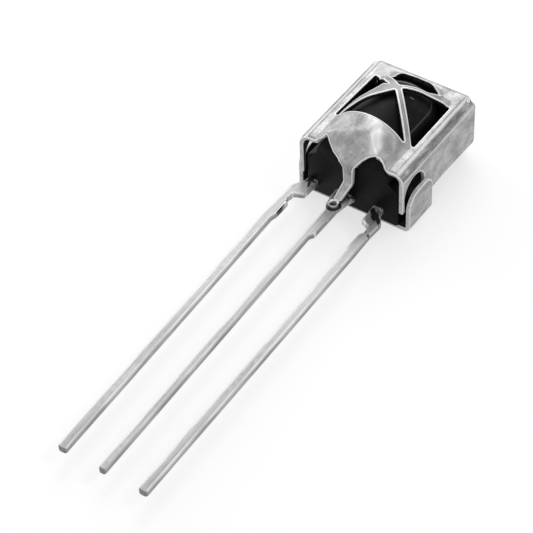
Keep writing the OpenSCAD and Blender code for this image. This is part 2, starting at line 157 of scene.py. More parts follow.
def make_surround():
    world = bpy.data.worlds.new("surround")
    bpy.context.scene.world = world
    world.use_nodes = True
    nodes, links = world.node_tree.nodes, world.node_tree.links
    background = nodes["Background"]
    background.inputs["Color"].default_value = (1, 1, 1, 1)
    level = nodes.new("ShaderNodeMapRange")
    level.inputs["To Min"].default_value = SURROUND_LEVEL
    level.inputs["To Max"].default_value = 1.0
    links.new(seen_ray(nodes, links), level.inputs["Value"])
    links.new(level.outputs[0], background.inputs["Strength"])


def area_lamp(name, at, aim_at, size, power):
    """A square lamp at a point, in millimetres, that looks at another. Power is in milliwatts."""
    data = bpy.data.lights.new(name, "AREA")
    data.size = size * MM
    data.energy = power * 0.001
    lamp = bpy.data.objects.new(name, data)
    lamp.location = Vector(at) * MM
    lamp.rotation_euler = (Vector(aim_at) - Vector(at)).to_track_quat("-Z", "Y").to_euler()
    bpy.context.scene.collection.objects.link(lamp)
    return lamp


make_floor()
make_surround()
area_lamp("top_lamp", (-57, 93, 104), (0, -6, 2), 80, 55)
area_lamp("left_lamp", (-130, 20, 60), (0, -8, 2), 70, 35)
area_lamp("right_lamp", (94, 24, 116), (0, -2, 5), 25, 18)
bpy.context.scene.view_settings.view_transform = "Standard"
print("floor, surround and", len(bpy.data.lights), "lamps")

# %% [markdown]
# ## Node helpers
#
# Metal and moulding compound are never one flat colour. A few helpers keep the materials below short. Each
# adds a node or two that read object coordinates, so that a pattern stays on the piece from every side:
# noise, a direction, a long spot or a band make a mask, and `mix` lays one colour over another by it.

# %% Node helpers
# How far a spot reaches up and down, in millimetres, and the shares of its size between which it fades
MARK_DEPTH = 0.6
MARK_FADES = (0.75, 1.1)


class Finish:
    """A material with a Principled shader and short calls for the nodes that feed it."""

    def __init__(self, name, colour, roughness, metallic=0.0):
        self.material = bpy.data.materials.new(name)
        self.material.use_nodes = True
        self.nodes = self.material.node_tree.nodes
        self.links = self.material.node_tree.links
        self.shader = self.nodes["Principled BSDF"]
        self.shader.inputs["Base Color"].default_value = (*colour, 1)
        self.shader.inputs["Roughness"].default_value = roughness
        self.shader.inputs["Metallic"].default_value = metallic
        self.coordinates = self.nodes.new("ShaderNodeTexCoord").outputs["Object"]

    def stretched(self, scale, turn=(0, 0, 0)):
        """Object coordinates multiplied by scale, one number for each axis, in 1/mm."""
        mapping = self.nodes.new("ShaderNodeMapping")
        mapping.inputs["Scale"].default_value = [s / MM for s in scale]
        mapping.inputs["Rotation"].default_value = turn
        self.links.new(self.coordinates, mapping.inputs["Vector"])
        return mapping.outputs[0]

    def noise(self, scale, detail=3.0, turn=(0, 0, 0), distortion=0.0):
        texture = self.nodes.new("ShaderNodeTexNoise")
        texture.inputs["Scale"].default_value = 1.0
        texture.inputs["Detail"].default_value = detail
        texture.inputs["Distortion"].default_value = distortion
        self.links.new(self.stretched(scale, turn), texture.inputs["Vector"])
        return texture.outputs["Fac"]

    def dots(self, scale, size):
        """A mask of sparse round dots, 1 inside a dot."""
        texture = self.nodes.new("ShaderNodeTexVoronoi")
        texture.inputs["Scale"].default_value = 1.0
        self.links.new(self.stretched(scale), texture.inputs["Vector"])
        return self.ramp(texture.outputs["Distance"], size, size * 0.5)

    def ramp(self, value, low, high):
        """0 where value is at low, 1 where it is at high, smooth between. Low may be the larger one."""
        node = self.nodes.new("ShaderNodeMapRange")
        node.interpolation_type = "SMOOTHSTEP"
        node.inputs["From Min"].default_value = low
        node.inputs["From Max"].default_value = high
        self.links.new(value, node.inputs["Value"])
        return node.outputs[0]

    def math(self, operation, first, second=0.0):
        node = self.nodes.new("ShaderNodeMath")
        node.operation = operation
        for socket, value in zip(node.inputs, (first, second)):
            if isinstance(value, (int, float)):
                socket.default_value = value
            else:
                self.links.new(value, socket)
        return node.outputs[0]

    def mix(self, base, over, mask):
        node = self.nodes.new("ShaderNodeMix")
        node.data_type = "RGBA"
        for key, value in (("A", base), ("B", over)):
            socket = [s for s in node.inputs if s.name == key and s.type == "RGBA"][0]
            if isinstance(value, tuple):
                socket.default_value = (*value, 1)
            else:
                self.links.new(value, socket)
        self.links.new(mask, node.inputs["Factor"])
        return [s for s in node.outputs if s.type == "RGBA"][0]

    def along(self, x, y, z):
        """How far along the direction (x, y, z) a point lies, in millimetres."""
        dot = self.nodes.new("ShaderNodeVectorMath")
        dot.operation = "DOT_PRODUCT"
        self.links.new(self.stretched((1, 1, 1)), dot.inputs[0])
        dot.inputs[1].default_value = (x, y, z)
        return dot.outputs["Value"]

    def mark(self, start, end, half, height, ragged=0.0):
        """1 inside a long spot in plan from start to end, as far to each side as half, at a height. ragged
        makes its outline wavy."""
        a, b = np.array(start, float), np.array(end, float)
        reach = (np.linalg.norm(b - a) / 2 + half, half, MARK_DEPTH)
        mapping = self.nodes.new("ShaderNodeMapping")
        mapping.vector_type = "TEXTURE"
        mapping.inputs["Location"].default_value = [v * MM for v in (*(a + b) / 2, height)]
        mapping.inputs["Rotation"].default_value = (0, 0, math.atan2(*(b - a)[::-1]))
        mapping.inputs["Scale"].default_value = [v * MM for v in reach]
        self.links.new(self.coordinates, mapping.inputs["Vector"])
        length = self.nodes.new("ShaderNodeVectorMath")
        length.operation = "LENGTH"
        self.links.new(mapping.outputs[0], length.inputs[0])
        wave = self.math("MULTIPLY", self.noise((4, 4, 4), 2), ragged)
        away = self.math("ADD", length.outputs["Value"], wave)
        return self.ramp(away, MARK_FADES[1] + ragged / 2, MARK_FADES[0] + ragged / 2)

    def band(self, value, middle, half, soft):
        """1 where value lies within half of middle, fading over soft."""
        away = self.math("ABSOLUTE", self.math("SUBTRACT", value, middle))
        return self.ramp(away, half + soft, half)

    def colour(self, output):
        self.links.new(output, self.shader.inputs["Base Color"])

    def rough(self, value, low, high):
        node = self.nodes.new("ShaderNodeMapRange")
        node.inputs["To Min"].default_value = low
        node.inputs["To Max"].default_value = high
        self.links.new(value, node.inputs["Value"])
        self.links.new(node.outputs[0], self.shader.inputs["Roughness"])

    def bump(self, height, distance, strength=1.0):
        """Bump from a height between 0 and 1 that stands for distance, in millimetres."""
        node = self.nodes.new("ShaderNodeBump")
        node.inputs["Distance"].default_value = distance * MM
        node.inputs["Strength"].default_value = strength
        self.links.new(height, node.inputs["Height"])
        if self.shader.inputs["Normal"].is_linked:
            self.links.new(self.shader.inputs["Normal"].links[0].from_socket, node.inputs["Normal"])
        self.links.new(node.outputs[0], self.shader.inputs["Normal"])


print("node helpers ready")

# %% [markdown]
# ## Sizes of the shield
#
# The overall sizes are read from the frame, so that this sheet is as large as the solid it stands for. The
# radii and the places of the cuts are written here once.

# %% Shield sizes
shield_low, shield_high = node_box("shield")
body_low, body_high = node_box("moulded_body")

SHEET = 0.28
# The sheet's edge: its radius, the width of the bright rim and of the painted dark line beside it
SHIELD_EDGE = (0.05, 0.06, 0.02)
WALL_X = 3.7
FRONT_Z = 4.7
END_Y, TOP_Y = -4.225, float(shield_high[1])
SIDE_R, TOP_R, EAR_R = 0.7, 0.32, 0.42
STRAP_Y = TOP_Y + 0.12
SEAM_FROM, SEAM_TO = TOP_Y - 0.4, TOP_Y + 2
EAR_X = float(shield_high[0])
EAR_Y0, EAR_Y1, EAR_TOP = -3.905, -1.245, 2.82
BACK_HALF = 3.0
LENS_Y, LENS_Z = 1.155, 3.32
COVER_R = 2.93
CROWN_Z = LENS_Z + COVER_R
FLAP_SLOPE = math.tan(math.radians(55))
CREASE_Y = -3.125
HUMP_Y = -1.925
TONGUE_Y = -4.555
SOLDER_X, SOLDER_Y = -0.45, -5.475
WINDOW_X = 2.83
print("shield box in mm:", shield_low.round(3), shield_high.round(3))

# %% [markdown]
# ## Tin-plated steel
#
# The sheet is dull bright tin over steel: a light neutral grey with soft clouds where the plating reflects
# unevenly, a fine grain, and a few tiny dark pits. Along the long folds and the top fold the colour carries
# painted highlights and painted shade, and so do the hump, its ribs and the flap. Round every edge the punch
# leaves a rolled rim, bright steel with a painted highlight, and beside it a painted dark line. The cut
# faces, those of the holes and the inner face have finishes of their own; those of the holes and seams and
# the inner face are painted shade.

# %% Steel finishes
STEEL = (0.46, 0.46, 0.465)
STEEL_DARK = (0.25, 0.25, 0.255)
STEEL_LIGHT = (0.66, 0.66, 0.665)
PIT = (0.09, 0.09, 0.09)
PAINTED_SHADE = (0.1, 0.1, 0.1)
PAINTED_HIGHLIGHT = (0.8, 0.8, 0.8)
# Painted highlights and shade along the side folds, from the middle: place, half width, softness, strength
FOLD_HIGHLIGHTS = ((3.25, 0.04, 0.06, 0.8),)
FOLD_SHADES = ((3.09, 0.015, 0.05, 0.7), (3.52, 0.09, 0.09, 0.8))
# Heights between which the folds' painted light and shade start and end, and of the corner's painted
# highlight
FOLD_BOTTOM, FOLD_TOP = (3.9, 4.0), (4.85, 4.75)
CORNER_HIGHLIGHT_Z, CORNER_HIGHLIGHT_ASIDE = 4.14, (3.6, 3.66)
# A painted highlight down the hump's right side, and painted shade on the slope beside it
HUMP_HIGHLIGHT_AT, HUMP_HIGHLIGHT_SLANT = -0.15, 0.39
HUMP_HIGHLIGHT_HALF, HUMP_HIGHLIGHT_SOFT = 0.12, 0.35
HUMP_SHADE_FROM, HUMP_SHADE_TO = HUMP_HIGHLIGHT_AT + 0.3, HUMP_HIGHLIGHT_AT + 0.8
# Heights at which the hump's painted highlight and shade, the ribs' painted shade and the flap's set in
HUMP_FADES, RIB_FADES, FLAP_FADES = (4.72, 5.1), (5.0, 5.3), (3.6, 4.0)


def steel_finish():
    f = Finish("shield_steel", STEEL, 0.4, 0.45)
    clouds = f.noise((1.1, 0.8, 1.1), 4)
    colour = f.mix(STEEL_DARK, STEEL_LIGHT, f.ramp(clouds, 0.33, 0.67))
    colour = f.mix(colour, STEEL, f.math("MULTIPLY", f.ramp(f.noise((9, 9, 9), 2), 0.4, 0.6), 0.7))
    colour = f.mix(colour, STEEL_DARK, f.math("MULTIPLY", f.ramp(f.noise((5, 4, 5), 3), 0.55, 0.7), 0.6))
    x, y, z = f.along(1, 0, 0), f.along(0, 1, 0), f.along(0, 0, 1)
    aside = f.math("ABSOLUTE", x)
    # The folds lie between the flat front and the walls, where the height falls
    fold = f.math("MULTIPLY", f.ramp(z, *FOLD_BOTTOM), f.ramp(z, *FOLD_TOP))
    patchy = f.ramp(f.noise((4, 0.7, 4), 3), 0.3, 0.6)
    # Painted highlights and painted shade along the side folds
    for middle, half, soft, strength in FOLD_HIGHLIGHTS:
        mask = f.math("MULTIPLY", f.band(aside, middle, half, soft), fold)
        colour = f.mix(colour, PAINTED_HIGHLIGHT, f.math("MULTIPLY", mask, strength))
    for middle, half, soft, strength in FOLD_SHADES:
        mask = f.math("MULTIPLY", f.band(aside, middle, half, soft), fold)
        mask = f.math("MULTIPLY", mask, patchy)
        colour = f.mix(colour, PAINTED_SHADE, f.math("MULTIPLY", mask, strength))
    # A painted highlight along the corner of each side fold
    corner = f.math("MULTIPLY", f.band(z, CORNER_HIGHLIGHT_Z, 0.03, 0.07), f.ramp(aside, *CORNER_HIGHLIGHT_ASIDE))
    colour = f.mix(colour, PAINTED_HIGHLIGHT, f.math("MULTIPLY", corner, 0.7))
    # Painted shade along the top fold
    top_fold_shade = f.math("MULTIPLY", f.ramp(y, TOP_Y - 0.15, TOP_Y), f.ramp(z, 4.0, 4.2))
    colour = f.mix(colour, PAINTED_SHADE, f.math("MULTIPLY", top_fold_shade, 0.6))
    # The hump: a painted highlight strip, painted shade on the slope right of it, and painted shade on the
    # ribs
    hump = f.math("MULTIPLY", f.ramp(y, HUMP_Y + 0.1, HUMP_Y - 0.05), f.ramp(z, *HUMP_FADES))
    slant = f.along(1, HUMP_HIGHLIGHT_SLANT, 0)
    hump_shade = f.math("MULTIPLY", f.ramp(slant, HUMP_SHADE_FROM, HUMP_SHADE_TO), hump)
    colour = f.mix(colour, STEEL_DARK, f.math("MULTIPLY", hump_shade, 0.5))
    hump_highlight = f.math("MULTIPLY", f.band(slant, HUMP_HIGHLIGHT_AT, HUMP_HIGHLIGHT_HALF, HUMP_HIGHLIGHT_SOFT), hump)
    colour = f.mix(colour, PAINTED_HIGHLIGHT, f.math("MULTIPLY", hump_highlight, 0.95))
    rib_shade = f.math("MULTIPLY", f.ramp(y, HUMP_Y + 0.2, HUMP_Y + 0.3), f.ramp(z, *RIB_FADES))
    colour = f.mix(colour, STEEL_DARK, f.math("MULTIPLY", rib_shade, 0.75))
    # The flap below its crease gets a little painted shade
    flap_shade = f.band(f.along(0, -FLAP_SLOPE, 1), CROWN_Z - FLAP_SLOPE * CREASE_Y, 0.03, 0.05)
    flap_shade = f.math("MULTIPLY", flap_shade, f.ramp(y, CREASE_Y + 0.1, CREASE_Y))
    flap_shade = f.math("MULTIPLY", flap_shade, f.ramp(z, *FLAP_FADES))
    colour = f.mix(colour, STEEL_DARK, f.math("MULTIPLY", flap_shade, 0.1))
    colour = f.mix(colour, PIT, f.dots((1.3, 1.3, 1.3), 0.05))
    f.colour(colour)
    f.rough(clouds, 0.34, 0.46)
    f.bump(f.noise((22, 22, 22), 2), 0.004, 0.5)
    f.bump(clouds, 0.03, 0.35)
    return f.material


def plain_finish(name, dark, light, roughness):
    """A finish of one cloudy tone for the sheet's edges and its inner face."""
    f = Finish(name, light, roughness, 0.1)
    f.shader.inputs["Specular IOR Level"].default_value = light[0] / 2
    f.colour(f.mix(dark, light, f.ramp(f.noise((6, 6, 6), 2), 0.3, 0.6)))
    f.bump(f.noise((14, 14, 14), 2), 0.004, 0.4)
    return f.material


steel = steel_finish()
# The inner face, the dark line beside the rim and the cut faces in the holes and seams are painted shade; the
# rim is bright steel with a painted highlight
shield_finishes = [
    steel,
    plain_finish("shield_inside_painted_shade", (0.03, 0.03, 0.03), (0.07, 0.07, 0.07), 0.6),
    plain_finish("shield_painted_dark_line", (0.1, 0.1, 0.1), (0.2, 0.2, 0.2), 0.5),
    plain_finish("shield_rim_with_highlight", (0.9, 0.9, 0.9), (1.0, 1.0, 1.0), 0.3),
    plain_finish("shield_cut_edge", (0.6, 0.6, 0.6), (0.85, 0.85, 0.85), 0.35),
    plain_finish("shield_cut_painted_shade", (0.008, 0.008, 0.008), (0.02, 0.02, 0.02), 0.7)]
print("steel finishes:", [finish.name for finish in shield_finishes])

# %% [markdown]
# ## Outlines with rounded corners
#
# A stamped sheet starts as a flat outline. Here an outline is a short list of corners, each with the radius
# that the punch leaves, and `rounded` turns it into a fine closed line: straight between corners, an arc at
# each. A radius beside its corner reads like a drawing, and every sharp corner stays visible as one.

# %% Rounded outlines
STEP = 0.075


def rounded(corners, step=STEP):
    """A closed line through corners (x, y) or (x, y, radius), with arcs in them and points step apart."""
    plain = [np.array(c[:2], float) for c in corners]
    radii = [c[2] if len(c) > 2 else 0.0 for c in corners]
    line = []
    for i, point in enumerate(plain):
        before = plain[i - 1] - point
        after = plain[(i + 1) % len(plain)] - point
        reach = min(np.linalg.norm(before), np.linalg.norm(after)) * 0.49
        before, after = before / np.linalg.norm(before), after / np.linalg.norm(after)
        half = math.acos(max(-1, min(1, float(before @ after)))) / 2
        radius = min(radii[i], reach * math.tan(half))
        if radius < 1e-4 or half > math.pi / 2 - 0.02:
            line.append(point)
            continue
        along = radius / math.tan(half)
        middle = point + (before + after) / np.linalg.norm(before + after) * radius / math.sin(half)
        start, end = point + before * along, point + after * along
        a0 = math.atan2(*(start - middle)[::-1])
        a1 = math.atan2(*(end - middle)[::-1])
        turn = (a1 - a0 + math.pi) % (2 * math.pi) - math.pi
        count = max(2, math.ceil(abs(turn) * radius / step), math.ceil(abs(turn) / 0.35))
        for k in range(count + 1):
            a = a0 + turn * k / count
            line.append(middle + radius * np.array([math.cos(a), math.sin(a)]))
    fine = []
    for i, point in enumerate(line):
        nxt = line[(i + 1) % len(line)]
        count = max(1, math.ceil(np.linalg.norm(nxt - point) / step))
        fine += [point + (nxt - point) * k / count for k in range(count)]
    return np.array(fine)


def inside(points, line):
    """Whether each point lies inside the closed line."""
    x, y = points[:, 0][:, None], points[:, 1][:, None]
    x0, y0 = line[:, 0], line[:, 1]
    x1, y1 = np.roll(x0, -1), np.roll(y0, -1)
    with np.errstate(divide="ignore", invalid="ignore"):
        crossing = ((y0 > y) != (y1 > y)) & (x < (x1 - x0) * (y - y0) / (y1 - y0) + x0)
    return crossing.sum(axis=1) % 2 == 1


square = [(0, 0, 0.3), (2, 0, 0.3), (2, 2, 0.3), (0, 2, 0.3)]
print("a square with round corners has", len(rounded(square)), "points")

# %% [markdown]
# ## A flat pattern that becomes a sheet
#
# `sheet_piece` fills an outline with an even mesh of triangles, bends it with a function that says where each
# point of the flat pattern ends up, and gives it a thickness. A Delaunay triangulation keeps the outline
# exactly and takes the inner points as they are, which a boolean or a subdivided polygon wouldn't. The edge
# is rounded by a quarter circle on each side, as a sheared edge is. The next cells build this up: first the
# mesh of the flat region.

# %% Filling an outline
# How near an inner point may come to the outline, as a share of the spacing
CLEAR = 1.1
# Twice the area, in square millimetres, under which a triangle is only a rounding error along a straight edge
SLIVER = 1e-6
# How many inner points are measured against the outline at a time
BATCH = 2000


def fill(outline, holes, spacing):
    """Points and triangles of the region inside outline and outside the holes."""
    lines = [outline] + list(holes)
    low, high = outline.min(0), outline.max(0)
    rows = np.arange(low[1], high[1], spacing * math.sqrt(3) / 2)
    grid = []
    for j, y in enumerate(rows):
        xs = np.arange(low[0] + (j % 2) * spacing / 2, high[0], spacing)
        grid.append(np.column_stack([xs, np.full(len(xs), y)]))
    grid = np.vstack(grid)
    keep = inside(grid, outline)
    for hole in holes:
        keep &= ~inside(grid, hole)
    grid = grid[keep]
    edge_points = np.vstack(lines)
    near = np.zeros(len(grid), bool)
    for start in range(0, len(grid), BATCH):
        part = grid[start:start + BATCH]
        gap = ((part[:, None] - edge_points[None]) ** 2).sum(2).min(1)
        near[start:start + BATCH] = gap < (CLEAR * spacing) ** 2
    points = np.vstack([edge_points, grid[~near]])
    edges, first = [], 0
    for line in lines:
        edges += [(first + i, first + (i + 1) % len(line)) for i in range(len(line))]
        first += len(line)
    out = delaunay_2d_cdt([Vector(p) for p in points], edges, [], 0, 1e-7)
    flat = np.array([tuple(p) for p in out[0]])
    triangles = np.array([f for f in out[2] if len(f) == 3])
    centres = flat[triangles].mean(axis=1)
    good = inside(centres, outline)
    for hole in holes:
        good &= ~inside(centres, hole)
    triangles = triangles[good]
    a, b, c = (flat[triangles[:, k]] for k in range(3))
    area = (b[:, 0] - a[:, 0]) * (c[:, 1] - a[:, 1]) - (b[:, 1] - a[:, 1]) * (c[:, 0] - a[:, 0])
    solid = np.abs(area) > SLIVER
    triangles, area = triangles[solid], area[solid]
    triangles[area < 0] = triangles[area < 0][:, ::-1]
    used, triangles = np.unique(triangles, return_inverse=True)
    return flat[used], triangles.reshape(-1, 3)


print("the square filled:", len(fill(rounded(square), [], 0.2)[1]), "triangles")

# %% [markdown]
# ## Normals and the boundary of a mesh
#
# The thickness is laid off along the normals of the outer face, and the strips of the edge start from the
# mesh's boundary. Both come from the list of triangles: a normal is the mean of its triangles' normals, each
# weighted by its area, and a boundary edge has a triangle on one side only.

# %% Normals and boundary
def unit(vectors):
    return vectors / np.maximum(np.linalg.norm(vectors, axis=1, keepdims=True), 1e-12)


def vertex_normals(points, triangles):
    a, b, c = (points[triangles[:, k]] for k in range(3))
    face = np.cross(b - a, c - a)
    normals = np.zeros_like(points)
    for k in range(3):
        np.add.at(normals, triangles[:, k], face)
    return unit(normals)


def boundary_next(triangles):
    """For each point on the boundary, the next one along it, with the surface on the left."""
    pairs = {}
    for t in triangles.tolist():
        for i in range(3):
            pairs[t[i], t[(i + 1) % 3]] = True
    return {a: b for a, b in pairs if (b, a) not in pairs}


print("two triangles have", len(boundary_next(np.array([(0, 1, 2), (0, 2, 3)]))), "boundary edges")

# %% [markdown]
# ## From points to a piece
#
# `from_pydata` turns lists of points and faces into a mesh. The finish of each face is a place in the list
# of materials. The normals are given, not worked out by Blender, where a rounded edge has to shade smoothly
# into the flat face beside it.

# %% Mesh objects
def make_object(name, points, faces, normals, finishes, face_finish):
    mesh = bpy.data.meshes.new(name)
    mesh.from_pydata((points * MM).tolist(), [], faces)
    mesh.polygons.foreach_set("use_smooth", [True] * len(mesh.polygons))
    for finish in finishes:
        mesh.materials.append(finish)
    mesh.polygons.foreach_set("material_index", face_finish)
    if normals is not None:
        mesh.normals_split_custom_set_from_vertices(normals.tolist())
    mesh.update()
    piece = bpy.data.objects.new(name, mesh)
    bpy.context.scene.collection.objects.link(piece)
    print(name, len(mesh.vertices), "points,", len(mesh.polygons), "faces")
    return piece


# %% [markdown]
# ## The sheet with its edges
#
# The outer face is drawn in by the width of the rim, and then a chain of points leads round the edge at each
# place of the boundary: across the dark line and the rim, round a quarter circle, down the cut and round
# another quarter circle to the inner face. Neighbouring chains are joined by faces, each strip in its finish.

# %% Sheet builder
EDGE_STEPS = 3


def sheet_piece(name, outline, holes, place, thickness, edge, spacing, finishes):
    """A sheet cut to outline, bent by place and closed all round. place maps flat points to its outer face.
    edge holds the edge's radius and the widths of the bright rim and of the dark line beside it. The finishes
    are those of the outer face, the inner face, the dark line, the rim, the cut, and the cut faces in the
    holes and at the seams, which are painted shade on the shield."""
    edge_r, rim, line = edge
    flat, triangles = fill(outline, holes, spacing)
    outer = place(flat)
    normals = vertex_normals(outer, triangles)
    follow = boundary_next(triangles)
    ring = np.array(list(follow))
    after = np.array([follow[i] for i in ring])
    before = np.empty(len(outer), int)
    before[after] = ring
    along = unit(outer[after] - outer[before[ring]])
    out = unit(np.cross(along, normals[ring]))
    base = outer[ring] - out * edge_r
    outer[ring] = base - out * (rim + line)
    inner = outer - normals * thickness
    on_outline = ((flat[ring][:, None] - outline[None]) ** 2).sum(2).min(1) < 1e-8
    # The corner seams' cut faces are in shade, like those of the holes
    on_outline &= (flat[ring][:, 1] < SEAM_FROM) | (flat[ring][:, 1] > SEAM_TO)
    quarter = []
    for k in range(EDGE_STEPS + 1):
        a = math.pi / 2 * k / EDGE_STEPS
        quarter.append((edge_r * math.sin(a), edge_r * (1 - math.cos(a)), math.sin(a), math.cos(a)))
    steps = [(-rim, 0, 0, 1)] + quarter + [(s, thickness - d, x, -y) for s, d, x, y in reversed(quarter)]
    step_finish = [2] + [3] * (EDGE_STEPS + 1) + [4] + [3] * EDGE_STEPS + [1]
    points, directions = [outer, inner], [normals, -normals]
    for s, d, x, y in steps:
        points.append(base + out * s - normals[ring] * d)
        directions.append(out * x + normals[ring] * y)
    count = len(outer)
    faces = triangles.tolist() + (triangles[:, ::-1] + count).tolist()
    face_finish = [0] * len(triangles) + [1] * len(triangles)
    place_of = {int(p): i for i, p in enumerate(ring)}

    def chain(p):
        """The points round the edge at ring point p, from the outer face to the inner one."""
        return [p] + [2 * count + k * len(ring) + place_of[p] for k in range(len(steps))] + [p + count]

    for i, p in enumerate(ring.tolist()):
        chain_a, chain_b = chain(p), chain(follow[p])
        for k, finish in enumerate(step_finish):
            faces.append((chain_a[k], chain_a[k + 1], chain_b[k + 1], chain_b[k]))
            in_shade = not on_outline[i] and k > EDGE_STEPS + 1 and finish != 1
            face_finish.append(5 if in_shade else finish)
    return make_object(name, np.vstack(points), faces, unit(np.vstack(directions)), finishes, face_finish)


print("sheet builder: chains of", 2 * EDGE_STEPS + 5, "points round the edge")

# %% [markdown]
# ## How the sheet is bent
#
# `u` runs across the flat pattern and `v` along it. The front panel is the plane at `FRONT_Z`, with a bulge
# over the lens: a half-round that turns into a ball and a straight ramp over the upper ribs. The bulge meets
# the panel in a small hollow fillet, which a smooth maximum of the two heights gives. Towards the open end it
# has been pressed in on both sides of its crease, and a smooth minimum with the sloping plane of the flap
# folds it over. Beyond the panel the pattern follows an arc and a wall on each side, and at the top an arc,
# the top face, another arc and the back.

# %% Shape of the front
FILLET = 0.13
CREASE_SOFT = 0.16
# How far the bulge is pressed in at its crease: place across it, depth
PRESSED = ((-2.6, 0.0), (-1.86, 0.19), (-1.15, 0.38), (-0.6, 0.37), (-0.21, 0.3), (0.25, 0.12), (0.6, 0.02),
           (0.91, 0.17), (1.27, 0.52), (1.6, 0.61), (2.0, 0.36), (2.37, 0.05), (2.6, 0.0))
PRESS_FROM, PRESS_LENGTH, PRESS_START = -1.95, 1.5, 0.5
# Over the upper ribs the ball turns into a straight ramp at this distance from the crown
RAMP_FROM, RAMP_SLOPE, LEFT_RAMP_SLOPE = 1.5, 0.64, 1.0
# The left ribs stand a little prouder here: place, height and spread
PROUD_AT, PROUD_H, PROUD_X, PROUD_Y = (-1.6, -0.2), 0.16, 0.75, 0.9
# The raised lip at the window's top edge
LIP_H, LIP_FROM, LIP_TO = 0.7, 3.4, 3.85
LIP_NARROWS, LIP_JOINS = (0.8, 2.2), (2.95, 3.2)
# The bulge falls to the panel between this distance from the middle and the window's side
COLLAR_X = 2.45


def smooth_max(a, b, k):
    return (a + b + np.sqrt((a - b) ** 2 + k * k)) / 2


def smooth_min(a, b, k):
    return -smooth_max(-a, -b, k)


def smooth_step(low, high, value):
    t = np.clip((value - low) / (high - low), 0, 1)
    return t * t * (3 - 2 * t)


def pressed_depth(x):
    """A soft curve through PRESSED."""
    knots = np.array(PRESSED)
    total = np.zeros_like(x)
    weight = np.zeros_like(x)
    for shift in np.linspace(-0.24, 0.24, 9):
        w = math.exp(-(shift / 0.14) ** 2)
        total += w * np.interp(x + shift, knots[:, 0], knots[:, 1])
        weight += w
    return total / weight


def front_height(x, y):
    """Height of the front's outer face above the back."""
    half_round = LENS_Z + np.sqrt(np.maximum(COVER_R ** 2 - x ** 2, 0.01))
    away = np.hypot(x, y - LENS_Y)
    ball = LENS_Z + np.sqrt(np.maximum(COVER_R ** 2 - away ** 2, 0.01))
    slope = np.where(x < 0, LEFT_RAMP_SLOPE, RAMP_SLOPE)
    ramp = LENS_Z + math.sqrt(COVER_R ** 2 - RAMP_FROM ** 2) - slope * (away - RAMP_FROM)
    dome = np.where(away < RAMP_FROM, ball, ramp)
    bulge = half_round + (dome - half_round) * smooth_step(LENS_Y - 0.3, LENS_Y + 0.5, y)
    under = FRONT_Z - 0.1
    lip = LIP_H * (1 - smooth_step(*LIP_NARROWS, np.abs(x))) * (1 - smooth_step(LIP_FROM, LIP_TO, y))
    bulge = bulge + (under + lip - bulge) * smooth_step(*LIP_JOINS, y)
    bulge = bulge + (under - bulge) * smooth_step(COLLAR_X, WINDOW_X, np.abs(x))
    proud = ((x - PROUD_AT[0]) / PROUD_X) ** 2 + ((y - PROUD_AT[1]) / PROUD_Y) ** 2
    bulge = bulge + PROUD_H * np.exp(-proud) * smooth_step(HUMP_Y + 0.1, HUMP_Y + 0.5, y)
    past = PRESS_FROM - y
    press = smooth_step(0, 1, past / PRESS_LENGTH) * smooth_step(0, 1, past / PRESS_START)
    bulge = bulge - pressed_depth(x) * press
    height = smooth_max(bulge, np.full_like(x, FRONT_Z), FILLET)
    slope = CROWN_Z + (y - CREASE_Y) * FLAP_SLOPE
    return np.where(y < HUMP_Y, smooth_min(height, slope, CREASE_SOFT), height)


print("height over the lens:", front_height(np.zeros(1), np.array([LENS_Y])).round(2), "mm")

# %% [markdown]
# ## Over the top, down the tongue and round the folds
#
# Where the sheet bends about one axis only, a point's place follows from its distance along a line with
# rounded corners, as when a strip is laid round a former. `turned` does the same for a fold across the
# pattern, and `bend` puts them together.

# %% Folds
def along_path(v, corners, radius):
    """Points and outward normals at distance v along a line in Y and Z whose corners are rounded."""
    corners = [np.array(c, float) for c in corners]
    pieces = []
    for i in range(1, len(corners) - 1):
        a = corners[i - 1] - corners[i]
        b = corners[i + 1] - corners[i]
        a, b = a / np.linalg.norm(a), b / np.linalg.norm(b)
        pieces.append((corners[i], a, b))
    line = [corners[0]]
    for corner, a, b in pieces:
        half = math.acos(float(a @ b)) / 2
        cut = radius / math.tan(half)
        middle = corner + (a + b) / np.linalg.norm(a + b) * radius / math.sin(half)
        a0 = math.atan2(*(corner + a * cut - middle)[::-1])
        a1 = math.atan2(*(corner + b * cut - middle)[::-1])
        turn = (a1 - a0 + math.pi) % (2 * math.pi) - math.pi
        for k in range(13):
            angle = a0 + turn * k / 12
            line.append(middle + radius * np.array([math.cos(angle), math.sin(angle)]))
    line.append(corners[-1])
    line = np.array(line)
    length = np.concatenate([[0], np.cumsum(np.linalg.norm(np.diff(line, axis=0), axis=1))])
    return np.column_stack([np.interp(v, length, line[:, k]) for k in (0, 1)]), length[-1]


OVER_TOP = ((0, FRONT_Z), (STRAP_Y, FRONT_Z), (STRAP_Y, 0), (EAR_Y0, 0))
TONGUE_R = 0.3
TONGUE_Z = CROWN_Z + (TONGUE_Y - CREASE_Y) * FLAP_SLOPE
DOWN_TONGUE = ((TONGUE_Y, TONGUE_Z), (TONGUE_Y, 2.7), (SOLDER_Y + 0.24, 1.62))
_, over_length = along_path(np.zeros(1), OVER_TOP, TOP_R)
_, tongue_length = along_path(np.zeros(1), DOWN_TONGUE, TONGUE_R)


def turned(u, start, radius):
    """Across a fold that starts at start: how far out, and how far down from the flat face."""
    arc = radius * math.pi / 2
    over = np.maximum(u - start, 0)
    angle = np.minimum(over / radius, math.pi / 2)
    out = np.minimum(u, start) + radius * np.sin(angle)
    down = radius * (1 - np.cos(angle)) + np.maximum(over - arc, 0)
    return out, down


